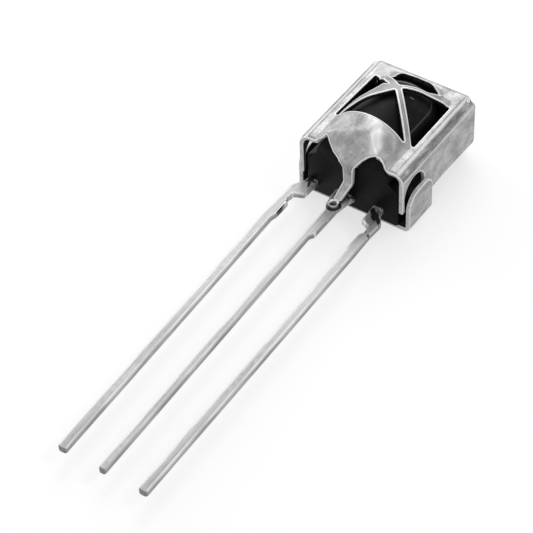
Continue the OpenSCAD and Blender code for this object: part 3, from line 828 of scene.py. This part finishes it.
def bend(flat):
    """The outer face of the shield at each point (u, v) of its flat pattern."""
    u, v = flat[:, 0], flat[:, 1]
    way = np.where(u < 0, -1.0, 1.0)
    out, down = turned(np.abs(u), WALL_X - SIDE_R, SIDE_R)
    x, y = way * out, v.copy()
    z = front_height(x, y) - down
    # Over the top and down the back, measured from the middle of the front panel
    path, _ = along_path(np.maximum(v, 0), OVER_TOP, TOP_R)
    ahead, _ = along_path(np.maximum(v, 0) + 0.01, OVER_TOP, TOP_R)
    normal = unit(np.column_stack([path[:, 1] - ahead[:, 1], ahead[:, 0] - path[:, 0]]))
    strap = (v > STRAP_V) & (np.abs(u) < SLIT_U)
    y = np.where(strap, path[:, 0] - normal[:, 0] * down, y)
    z = np.where(strap, path[:, 1] - normal[:, 1] * down, z)
    # The ears, folded up from the back
    ear_out, ear_up = turned(np.abs(u), EAR_X - EAR_R, EAR_R)
    ear = v > BACK_V
    x = np.where(ear, way * ear_out, x)
    y = np.where(ear, path[:, 0], y)
    z = np.where(ear, ear_up, z)
    # The tongue hangs from the flap's lower end
    tongue = v < TONGUE_Y
    down_path, _ = along_path(np.maximum(TONGUE_Y - v, 0), DOWN_TONGUE, TONGUE_R)
    y = np.where(tongue, down_path[:, 0], y)
    z = np.where(tongue, down_path[:, 1], z)
    return np.column_stack([x, y, z])


STRAP_V = STRAP_Y - TOP_R
SLIT_U = 3.415
CORNER = TOP_R * (2 - math.pi / 2)
BACK_V = STRAP_Y + FRONT_Z - 2 * CORNER
print("over the top and down the back:", round(over_length, 2), "mm")
print("down the tongue:", round(tongue_length, 2), "mm")

# %% [markdown]
# ## The flat pattern
#
# Half of the outline is a list of corners, and the other half is its mirror image, apart from the flap, which
# the press left uneven. Heights and places on the folded shield are turned into distances on the pattern, so
# that a size in the list is one that could be measured on the real piece.

# %% Outline of the pattern
def wall_u(z):
    """Distance across the pattern of height z on a side wall."""
    return WALL_X - SIDE_R + SIDE_R * math.pi / 2 + (FRONT_Z - SIDE_R - z)


def ear_u(z):
    return EAR_X - EAR_R + EAR_R * math.pi / 2 + (z - EAR_R)


def back_v(y):
    """Distance along the pattern of y on the back panel."""
    return BACK_V + STRAP_Y - y


def arc_points(middle, radius, start, end, count):
    angles = np.radians(np.linspace(start, end, count))
    return [(middle[0] + radius * math.cos(a), middle[1] + radius * math.sin(a)) for a in angles]


def side_outline():
    """From the hump's right foot round the wall, the strap and the ear to the back panel's end."""
    notch = arc_points((wall_u(2.65), -2.845), 1.15, -90, -270, 25)
    return [
        (2.95, END_Y, 0.1), (wall_u(1.665), END_Y, 0.13), (wall_u(1.665), -3.96, 0.13)] + notch + [
        (wall_u(1.3), -1.695, 0.12), (wall_u(1.03), TOP_Y + 0.06, 0.2), (wall_u(4.0), TOP_Y + 0.06, 0.1),
        (SLIT_U + 0.01, TOP_Y - 0.18, 0.03), (SLIT_U + 0.01, STRAP_V - 0.2, 0.005),
        (SLIT_U - 0.01, STRAP_V - 0.2, 0.005), (SLIT_U - 0.01, BACK_V - 1.48, 0.15),
        (BACK_HALF, BACK_V - 1.3, 0.15), (BACK_HALF, back_v(EAR_Y1), 0.15),
        (ear_u(EAR_TOP), back_v(EAR_Y1), 0.75), (ear_u(EAR_TOP), back_v(EAR_Y0), 1.1), (0, back_v(EAR_Y0))]


FLAP_RIGHT = [(0.375, -4.9, 0.4), (0.5, -4.55, 0.3), (0.79, -4.27, 0.3), (1.14, -4.04, 0.2),
              (1.5, -3.9, 0.15), (1.78, -3.86, 0.12), (2.1, -4.0, 0.2), (2.4, -4.2, 0.15),
              (2.62, END_Y, 0.1)]
FLAP_LEFT = [(-0.375, -4.9, 0.4), (-0.68, -4.51, 0.4), (-1.21, -4.32, 0.3), (-1.59, -4.09, 0.3),
             (-1.95, -3.83, 0.07), (-2.2, -4.05, 0.2), (-2.55, END_Y, 0.1)]
TIP_HALF, TIP_SHIFT = 0.25, 0.06
KINK_L, KINK_HALF = 1.45, 0.33


def shield_outline():
    tongue_v = TONGUE_Y - tongue_length
    kink = TONGUE_Y - KINK_L
    tip = SOLDER_X + TIP_SHIFT
    right = side_outline()
    left = [(-c[0], *c[1:]) for c in reversed(right[:-1])]
    return rounded([(tip + TIP_HALF, tongue_v, 0.1), (KINK_HALF, kink, 0.3)] + FLAP_RIGHT + right + left
                   + FLAP_LEFT[::-1] + [(-KINK_HALF, kink, 0.3), (tip - TIP_HALF, tongue_v, 0.1)])


outline = shield_outline()
print("outline:", len(outline), "points")

# %% [markdown]
# ## The window's four holes
#
# The window is cut as four holes, so that the ribs between them are what is left of the sheet. Most of the
# holes' corners come from where two ribs' edges cross, and the upper ribs widen at their roots. The left hole
# runs out in a slit beside a web at the crossing, which has corners of its own.

# %% Window holes
LOWER_RIB_HALF, UPPER_RIB_HALF, ROOT_HALF = 0.21, 0.145, 0.2
CROSS_Y = 1.145
# The left hole's upper end, from its top corner to the slit and back along the web
SLIT_END = ((-2.66, 2.82, 0.08), (-2.35, 2.73, 0.1), (-1.95, 2.25, 0.3), (-1.5, 1.71, 0.3),
            (-1.06, 1.36, 0.2), (-0.6, 1.09, 0.03), (-0.86, 1.13, 0.05), (-1.05, 1.08, 0.12),
            (-1.12, 0.7, 0.2))
# Where the upper ribs' upper sides start to widen, as a share of their length
LEFT_WIDENS, RIGHT_WIDENS = 0.42, 0.55
# The same for the right one's lower side
GUSSET_FROM = 0.75
WINDOW_Y0, WINDOW_Y1 = -1.525, 2.875
# Corners of the window's top edge, from right to left
TOP_EDGE = ((2.0, 3.0, 0.06), (1.55, 3.26, 0.3), (1.15, 3.42, 0.3), (0.1, 3.43, 0.5), (-1.2, 3.3, 0.4),
            (-1.6, 2.85, 0.08))
LOWER_FOOT = 2.35


def rib_edges(foot_x, foot_y, side):
    """The line beside a rib, from the crossing: its start, its direction, the direction away from the rib's
    middle, and its length. side is 1 to the rib's left and -1 to its right."""
    along = np.array([foot_x, foot_y - CROSS_Y])
    reach = np.linalg.norm(along)
    along = along / reach
    aside = np.array([-along[1], along[0]]) * side
    half = UPPER_RIB_HALF if foot_y > CROSS_Y else LOWER_RIB_HALF
    return np.array([0, CROSS_Y]) + aside * half, along, aside, reach


def meet(p, d, q, e):
    """Where two lines cross."""
    t = np.linalg.solve(np.column_stack([d, -e]), q - p)[0]
    return p + d * t


def gusset(foot, side):
    """Where an upper rib's lower side starts to widen, and its widest place at the window's edge."""
    start, along, aside, reach = rib_edges(*foot, side)
    widening = start + along * reach * GUSSET_FROM
    root = start + along * reach + aside * (ROOT_HALF - UPPER_RIB_HALF)
    return widening, root


def window_holes():
    upper = [(-WINDOW_X, WINDOW_Y1), (WINDOW_X, WINDOW_Y1)]
    lower = [(-LOWER_FOOT, WINDOW_Y0), (LOWER_FOOT, WINDOW_Y0)]
    holes = []
    # The top hole, between the upper ribs and the window's top edge
    left_edge = rib_edges(*upper[0], -1)
    right_edge = rib_edges(*upper[1], 1)
    apex = meet(left_edge[0], left_edge[1], right_edge[0], right_edge[1])
    rw = right_edge[0] + right_edge[1] * right_edge[3] * RIGHT_WIDENS
    lw = left_edge[0] + left_edge[1] * left_edge[3] * LEFT_WIDENS
    holes.append(rounded([(*apex, 0.12), (*rw, 0.5), *TOP_EDGE, (*lw, 0.5)]))
    # The bottom hole, between the lower ribs, closed by the hump's rim
    left_edge = rib_edges(*lower[0], 1)
    right_edge = rib_edges(*lower[1], -1)
    apex = meet(left_edge[0], left_edge[1], right_edge[0], right_edge[1])
    rim = (np.array([0, HUMP_Y]), np.array([1, 0]))
    l_foot = meet(left_edge[0], left_edge[1], *rim)
    r_foot = meet(right_edge[0], right_edge[1], *rim)
    holes.append(rounded([(*apex, 0.12), (*l_foot, 0.1), (*r_foot, 0.1)]))
    # The right hole
    up = rib_edges(*upper[1], -1)
    down = rib_edges(*lower[1], 1)
    apex = meet(up[0], up[1], down[0], down[1])
    widening, root = gusset(upper[1], -1)
    side = (np.array([WINDOW_X, 0]), np.array([0, 1]))
    r_side = meet(widening, root - widening, *side)
    bottom = (np.array([0, WINDOW_Y0 - 0.05]), np.array([1, 0]))
    foot = meet(down[0], down[1], *bottom)
    holes.append(rounded([(*apex, 0.12), (*widening, 0.5), (*r_side, 0.1), (WINDOW_X, bottom[0][1], 0.3),
                          (*foot, 0.12)]))
    # The left hole, whose upper end runs out in a narrow slit beside a web at the crossing
    down = rib_edges(*lower[0], -1)
    foot = meet(down[0], down[1], *bottom)
    leaves = down[0] + down[1] * 2.0
    holes.append(rounded([*SLIT_END, (*leaves, 0.4), (*foot, 0.12), (-2.78, bottom[0][1], 0.3)]))
    return holes


holes = window_holes()
print("holes:", [len(h) for h in holes], "points")

# %% [markdown]
# ## The shield
#
# Everything is ready for the folded sheet.

# %% Shield
shield = sheet_piece("shield_sheet", outline, holes, bend, SHEET, SHIELD_EDGE, 0.1, shield_finishes)
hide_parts("shield")
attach(shield, "root")

# %% [markdown]
# ## Moulding compound
#
# The block is cast from a near-black epoxy that passes infrared light. It is glossy only in a dull way: the
# surface is faintly cloudy, with small scuffs from the mould.

# %% Epoxy finish
EPOXY = (0.005, 0.005, 0.0052)
EPOXY_PALE = (0.014, 0.014, 0.0145)
SCUFF = (0.05, 0.05, 0.05)
ARC_HIGHLIGHT, FOOT_HIGHLIGHT, SPOT_HIGHLIGHT = (0.35, 0.35, 0.35), (0.12, 0.12, 0.12), (0.2, 0.2, 0.2)
# Painted highlights on the lens: the line of the arc across it, the height of the line round its foot, and
# both ends of a spot
ARC_SLANT, ARC_AT = -0.21, 2.37
FOOT_Z = 4.82
SPOT = ((0.86, 1.17), (1.08, 1.21))


def epoxy_finish():
    f = Finish("black_epoxy", EPOXY, 0.42)
    clouds = f.noise((1.3, 1.3, 1.3), 4, distortion=0.6)
    colour = f.mix(EPOXY, EPOXY_PALE, f.ramp(clouds, 0.5, 0.75))
    scuffs = f.ramp(f.noise((2.2, 2.2, 2.2), 5, distortion=1.5), 0.64, 0.72)
    colour = f.mix(colour, SCUFF, f.math("MULTIPLY", scuffs, 0.5))
    # Painted highlights on the lens: a thin arc across it, a line round its foot and a small spot
    high = f.along(0, 0, 1)
    arc_highlight = f.band(f.along(ARC_SLANT, 1, 0), ARC_AT, 0.03, 0.05)
    arc_highlight = f.math("MULTIPLY", arc_highlight, f.ramp(high, 4.9, 5.3))
    foot = f.math("MULTIPLY", f.band(high, FOOT_Z, 0.015, 0.05), f.ramp(f.along(1, 0, 0), 1.5, 1.8))
    spot = f.mark(*SPOT, 0.07, 5.68)
    colour = f.mix(colour, ARC_HIGHLIGHT, f.math("MULTIPLY", arc_highlight, 0.9))
    colour = f.mix(colour, FOOT_HIGHLIGHT, f.math("MULTIPLY", foot, 0.6))
    colour = f.mix(colour, SPOT_HIGHLIGHT, f.math("MULTIPLY", spot, 0.6))
    f.colour(colour)
    f.rough(clouds, 0.36, 0.55)
    f.shader.inputs["Specular IOR Level"].default_value = 0.08
    f.bump(clouds, 0.02, 0.3)
    return f.material


epoxy = epoxy_finish()
print("epoxy finish:", epoxy.name)

# %% [markdown]
# ## The moulded block
#
# The block is lofted: a section across it is drawn at many places along its length and neighbours are joined.
# Each section has the same number of points, from one lower corner over the half-round to the other, so the
# half-round can shrink to nothing where the lens closes as a ball. The slope under the flap is a ceiling that
# the section's heights don't pass.

# %% Moulded block
LENS_R = 2.55
BEVEL = 0.12
SLOPE_GAP = 0.38
SHEET_GAP = 0.42
SHOULDER_Z = 3.15
ARC_COUNT = 49


def block_section(y, shrink):
    """Points (x, z) of the block's section at y, drawn in by shrink all round."""
    half = body_high[0] - shrink
    z0, z1 = body_low[2] + shrink, SHOULDER_Z - shrink * 0.5
    reach = LENS_R ** 2 - max(y - LENS_Y, 0) ** 2 - (LENS_Z - z1) ** 2
    foot = math.sqrt(max(reach, 0))
    slope = CROWN_Z + (y - CREASE_Y) * FLAP_SLOPE - SLOPE_GAP / math.cos(math.radians(55))
    points = [(-half + BEVEL, z0), (-half, z0 + BEVEL), (-half, z1 - BEVEL), (-half + BEVEL, z1)]
    for t in np.linspace(-1, 1, ARC_COUNT):
        x = foot * math.sin(t * math.pi / 2)
        rise = math.sqrt(max(reach + (LENS_Z - z1) ** 2 - x * x, 0)) if foot > 0 else 0
        under_sheet = float(front_height(np.array([x]), np.array([y]))[0]) - SHEET_GAP
        height = min(LENS_Z + rise, slope, under_sheet if y < HUMP_Y else LENS_Z + rise)
        points.append((x, max(height, z1) if foot > 0 else z1))
    points += [(half - BEVEL, z1), (half, z1 - BEVEL), (half, z0 + BEVEL), (half - BEVEL, z0)]
    return points


def block_stations():
    """Places along Y with the shrink of the section there: close together at the ends and round the lens."""
    y0, y1 = float(body_low[1]), float(body_high[1])
    stations = [(y0, 0.1), (y0 + 0.03, 0.045), (y0 + 0.1, 0.0)]
    stations += [(y, 0.0) for y in np.arange(y0 + 0.2, LENS_Y, 0.1)]
    stations += [(LENS_Y + LENS_R * math.sin(a), 0.0) for a in np.radians(np.linspace(0, 86, 30))]
    stations += [(y1 - 0.03, 0.045), (y1, 0.1)]
    return stations


def moulded_block():
    points, faces = [], []
    stations = block_stations()
    for y, shrink in stations:
        points += [(x, y, z) for x, z in block_section(y, shrink)]
    count = len(points) // len(stations)
    for s in range(len(stations) - 1):
        for i in range(count):
            a, b = s * count + i, s * count + (i + 1) % count
            faces.append((a, b, b + count, a + count))
    last = (len(stations) - 1) * count
    faces.append(tuple(range(count))[::-1])
    faces.append(tuple(range(last, last + count)))
    return make_object("epoxy_block", np.array(points), faces, None, [epoxy], [0] * len(faces))


def smooth_by_angle(piece, degrees):
    """Shades a piece smooth, apart from edges that turn by more than the angle."""
    mesh = bmesh.new()
    mesh.from_mesh(piece.data)
    bmesh.ops.remove_doubles(mesh, verts=mesh.verts, dist=1e-7)
    bmesh.ops.recalc_face_normals(mesh, faces=mesh.faces)
    for edge in mesh.edges:
        edge.smooth = len(edge.link_faces) == 2 and edge.calc_face_angle(0) < math.radians(degrees)
    mesh.to_mesh(piece.data)
    mesh.free()


block = moulded_block()
smooth_by_angle(block, 32)
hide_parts("moulded_body")
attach(block, "root")

# %% [markdown]
# ## The leads
#
# The three leads are stamped from one strip of tinned copper alloy and trimmed apart. They are flat bars with
# edges that the tin bath has rounded, so they are made as the shield is, from outlines, with a larger edge
# radius and a flat place. Beyond the block the outer two step outwards and narrow to a neck, and the middle
# one is wider up to its root's end. Thin resin from the mould has crept onto their roots.

# %% Lead finish
TIN = (0.42, 0.42, 0.42)
TIN_LIGHT = (0.54, 0.54, 0.54)
TIN_DARK = (0.28, 0.28, 0.28)
RESIN_AND_SHADE = (0.02, 0.02, 0.02)
PAINTED_GLINT = (0.9, 0.9, 0.9)
LEAD_TOP = 1.305
# Where the resin on the roots ends and starts, and the bare cut ends of the tips
CREEP_Y, TIP_BARE_Y = (-5.0, -4.2), (-29.1, -29.28)
BARE = (0.25, 0.24, 0.23)
# Dark patches on the roots, the one between the middle lead's arms painted shade, and painted highlights:
# both ends in plan and the half width
DARK_ROOT_MARKS = (((-2.82, -3.95), (-3.08, -4.55), 0.12), ((-2.88, -4.35), (-2.66, -4.95), 0.1),
               ((-3.08, -6.0), (-3.14, -6.6), 0.05), ((-3.06, -6.95), (-3.04, -7.8), 0.05),
               ((1.7, -4.4), (2.3, -5.2), 0.2), ((2.2, -4.7), (2.7, -5.35), 0.13),
               ((2.35, -6.28), (2.38, -6.35), 0.07), ((2.66, -6.45), (2.7, -6.52), 0.07),
               ((-0.5, -4.1), (-0.45, -4.9), 0.33))
GLINT_MARKS = (((-3.24, -4.62), (-3.12, -4.28), 0.06), ((-2.53, -5.3), (-2.5, -5.42), 0.06),
                ((-3.2, -5.82), (-3.15, -5.92), 0.07), ((-3.08, -6.75), (-3.05, -6.85), 0.06),
                ((-0.06, -6.6), (-0.02, -6.7), 0.07), ((-0.12, -7.95), (-0.08, -8.05), 0.07),
                ((1.5, -5.2), (2.0, -5.75), 0.09), ((1.97, -4.11), (2.35, -4.38), 0.04),
                ((2.82, -6.3), (2.86, -6.38), 0.07), ((2.92, -7.62), (2.95, -7.7), 0.07))
# How wavy the patches' outlines are
MARK_RAGGED = 0.9


def with_root_marks(f, colour):
    """Adds the resin on the roots, their dark patches and their painted highlights to a finish of the leads.
    """
    creep = f.ramp(f.noise((2.6, 1.6, 2.6), 4, distortion=0.8), 0.52, 0.6)
    near = f.ramp(f.along(0, 1, 0), *CREEP_Y)
    colour = f.mix(colour, RESIN_AND_SHADE, f.math("MULTIPLY", creep, near))
    # Dark patches, the middle lead's one painted shade, then painted highlights
    for marks, tone in ((DARK_ROOT_MARKS, RESIN_AND_SHADE), (GLINT_MARKS, PAINTED_GLINT)):
        for start, end, half in marks:
            colour = f.mix(colour, tone, f.mark(start, end, half, LEAD_TOP, MARK_RAGGED))
    return colour


def lead_finish():
    f = Finish("tinned_lead", TIN, 0.4, 0.45)
    length = f.noise((2.2, 0.12, 2.2), 3)
    colour = f.mix(TIN_DARK, TIN_LIGHT, f.ramp(length, 0.2, 0.75))
    colour = f.mix(colour, TIN, f.ramp(f.noise((5, 3, 5), 3), 0.4, 0.7))
    f.colour(with_root_marks(f, colour))
    f.rough(length, 0.34, 0.48)
    f.bump(f.noise((8, 8, 8), 3), 0.006, 0.5)
    f.bump(f.noise((1.5, 0.8, 1.5), 2), 0.04, 0.5)
    return f.material


def lead_edge_finish(name, tone, spread):
    f = Finish(name, (tone, tone, tone), 0.4, 0.4)
    tip = f.ramp(f.along(0, 1, 0), *TIP_BARE_Y)
    light, dark = tone * (1 + spread), tone * (1 - spread)
    colour = f.mix((dark, dark, dark), (light, light, light), f.ramp(f.noise((2, 0.3, 2), 3), 0.35, 0.65))
    colour = f.mix(colour, BARE, tip)
    f.colour(with_root_marks(f, colour))
    f.bump(f.noise((6, 3, 6), 3), 0.01, 0.5)
    return f.material


tin = lead_finish()
# The rounded edges are lighter tin with a painted highlight on them
rolled_and_highlight = lead_edge_finish("lead_rolled_edge_highlight", 0.66, 0.2)
sheared = lead_edge_finish("lead_cut_edge", 0.42, 0.3)
lead_finishes = [tin, tin, tin, rolled_and_highlight, sheared, sheared]
print("lead finishes:", tin.name, rolled_and_highlight.name, sheared.name)

# %% Lead outlines
LEAD_T = 0.45
LEAD_EDGE = (0.1, 0.02, 0.02)
LEAD_L = 25.2
ROW_X, TIP_X, TIP_PITCH = -0.45, 0.05, 2.76
ROOT_OUT, ROOT_L, NECK_L, NECK_W = 3.25, 4.1, 2.25, 0.42
OUTER_W, MIDDLE_W = 0.58, 0.45
MIDDLE_ROOT_HALF, MIDDLE_UPPER_W, MIDDLE_SHIFT = 0.68, 0.65, 0.02
BODY_END = float(body_low[1])
IN_BODY = 0.4


def outer_lead_outline(side):
    """Outline of an outer lead. Its corners are (distance from the row's middle, distance from the block,
    radius), and side is -1 on the left and 1 on the right."""
    inner = ROOT_OUT - OUTER_W
    neck_in = ROOT_OUT - 0.06 - NECK_W
    tip = side * (TIP_X - ROW_X) + TIP_PITCH
    corners = [
        (2.72, -IN_BODY), (2.72, 0.3, 0.3), (ROOT_OUT, 1.1, 0.6), (ROOT_OUT - 0.06, NECK_L, 0.8),
        (ROOT_OUT, ROOT_L, 0.8), (tip + OUTER_W / 2, LEAD_L, 0.17), (tip - OUTER_W / 2, LEAD_L, 0.17),
        (inner, ROOT_L, 0.3), (inner - 0.1, ROOT_L - 0.4, 0.15), (inner - 0.1, NECK_L + 0.3, 0.15),
        (neck_in, NECK_L, 0.2), (neck_in - 0.1, 1.7, 0.12), (2.08, 1.45, 0.1), (2.0, 0.3, 0.2),
        (2.0, -IN_BODY)]
    line = [(ROW_X + side * c[0], BODY_END - c[1], *c[2:]) for c in corners]
    return rounded(line if side < 0 else line[::-1])


def middle_lead_outline():
    half = MIDDLE_ROOT_HALF
    left = ROW_X + MIDDLE_SHIFT - MIDDLE_UPPER_W / 2
    right = ROW_X + MIDDLE_SHIFT + MIDDLE_UPPER_W / 2
    corners = [
        (ROW_X - half, -IN_BODY), (ROW_X - half, 0.75, 0.3), (left, 1.95, 0.8), (left, ROOT_L, 0.5),
        (TIP_X - MIDDLE_W / 2, LEAD_L, 0.15), (TIP_X + MIDDLE_W / 2, LEAD_L, 0.15),
        (left + MIDDLE_W, ROOT_L + 0.15, 0.3), (right, ROOT_L - 0.15, 0.12), (right, 1.5, 0.6),
        (ROW_X + half * 0.75, 0.5, 0.2), (ROW_X + half, 0.15, 0.1), (ROW_X + half, -IN_BODY)]
    return rounded([(c[0], BODY_END - c[1], *c[2:]) for c in corners])


def lead_piece(name, node, outline):
    top = float(node_box(node)[1][2])

    def flat_face(points):
        return np.column_stack([points, np.full(len(points), top)])

    piece = sheet_piece(name, outline, [], flat_face, LEAD_T, LEAD_EDGE, 0.12, lead_finishes)
    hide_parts(node)
    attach(piece, "root")
    return piece


# %% Leads
for name, node, line in (
        ("left_lead", "output_lead", outer_lead_outline(-1)),
        ("right_lead", "supply_lead", outer_lead_outline(1)),
        ("middle_lead", "ground_lead", middle_lead_outline())):
    lead_piece(name, node, line)

# %% [markdown]
# ## The solder
#
# A drop of solder holds the tongue to the middle lead. It stands up as a ring at the tongue's end, with a
# slope outside it and a dish in the middle, so it is a profile turned about its axis, with a little waviness
# that follows the angle. Three tones follow the distance from the axis: a painted highlight on the ring,
# painted shade on the slope outside it and a dark mottled middle.

# %% Solder
SOLDER_FOOT = LEAD_TOP
SOLDER_PROFILE = ((0.0, 0.14), (0.11, 0.14), (0.2, 0.155), (0.25, 0.21), (0.29, 0.28), (0.32, 0.3),
                  (0.355, 0.285), (0.395, 0.22), (0.425, 0.12), (0.455, 0.0))
SOLDER_TURNS = 64
RING_R, DISH_R = 0.37, 0.25


def solder_finish():
    f = Finish("solder", (0.55, 0.55, 0.55), 0.3, 0.5)
    grain = f.noise((7, 7, 7), 3)
    middle = f.mix((0.03, 0.03, 0.03), (0.3, 0.3, 0.3), f.ramp(grain, 0.45, 0.65))
    at = (SOLDER_X, SOLDER_Y)
    # A painted highlight on the ring, painted shade outside it, and the dark mottled middle in the dish
    rim = f.mark(at, at, RING_R, SOLDER_FOOT + 0.2, 0.2)
    dish = f.mark(at, at, DISH_R, SOLDER_FOOT + 0.2, 0.4)
    f.colour(f.mix(f.mix((0.01, 0.01, 0.01), (0.9, 0.9, 0.9), rim), middle, dish))
    f.bump(grain, 0.02, 0.5)
    return f.material


def solder_drop():
    points, faces = [], []
    for k in range(SOLDER_TURNS):
        a = 2 * math.pi * k / SOLDER_TURNS
        wave = 1 + 0.05 * math.sin(2 * a + 0.7) + 0.03 * math.sin(3 * a)
        for r, h in SOLDER_PROFILE:
            out = r * wave
            points.append((SOLDER_X + out * math.cos(a), SOLDER_Y + out * math.sin(a), SOLDER_FOOT + h))
    count = len(SOLDER_PROFILE)
    for k in range(SOLDER_TURNS):
        a, b = k * count, (k + 1) % SOLDER_TURNS * count
        faces += [(a + i, a + i + 1, b + i + 1, b + i) for i in range(count - 1)]
    faces.append([k * count + count - 1 for k in range(SOLDER_TURNS)][::-1])
    return make_object("solder_drop", np.array(points), faces, None, [solder_finish()], [0] * len(faces))


drop = solder_drop()
smooth_by_angle(drop, 60)
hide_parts("tongue_solder")
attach(drop, "root")

# %% [markdown]
# ## What the block hides
#
# The two chips, their glue and the bond wires are cast inside the block and never show, but they are pieces
# of the module and keep their solids. Each gets the finish it has before moulding.

# %% Finishes of the sealed pieces
def silicon_finish():
    f = Finish("silicon", (0.1, 0.11, 0.14), 0.2, 0.3)
    f.colour(f.mix((0.09, 0.1, 0.13), (0.16, 0.17, 0.22), f.ramp(f.noise((4, 4, 4), 2), 0.4, 0.6)))
    return f.material


def glue_finish():
    f = Finish("chip_glue", (0.45, 0.45, 0.46), 0.55, 0.4)
    f.colour(f.mix((0.36, 0.36, 0.37), (0.55, 0.55, 0.56), f.ramp(f.noise((8, 8, 8), 3), 0.4, 0.6)))
    f.bump(f.noise((12, 12, 12), 2), 0.004, 0.5)
    return f.material


def wire_finish():
    f = Finish("bond_wire", (0.8, 0.55, 0.22), 0.25, 1.0)
    f.colour(f.mix((0.78, 0.52, 0.2), (0.85, 0.62, 0.3), f.ramp(f.noise((9, 9, 9), 2), 0.4, 0.6)))
    return f.material


SEALED = {"silicon": (silicon_finish(), ("photodiode_chip", "amplifier_chip")),
          "chip_glue": (glue_finish(), ("photodiode_glue", "amplifier_glue")),
          "bond_wire": (wire_finish(), ("diode_wire", "output_wire", "supply_wire", "ground_wire"))}
for finish, names in SEALED.values():
    for node in names:
        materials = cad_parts[node].data.materials
        materials.clear()
        materials.append(finish)
        print(node, "is finished as", finish.name)
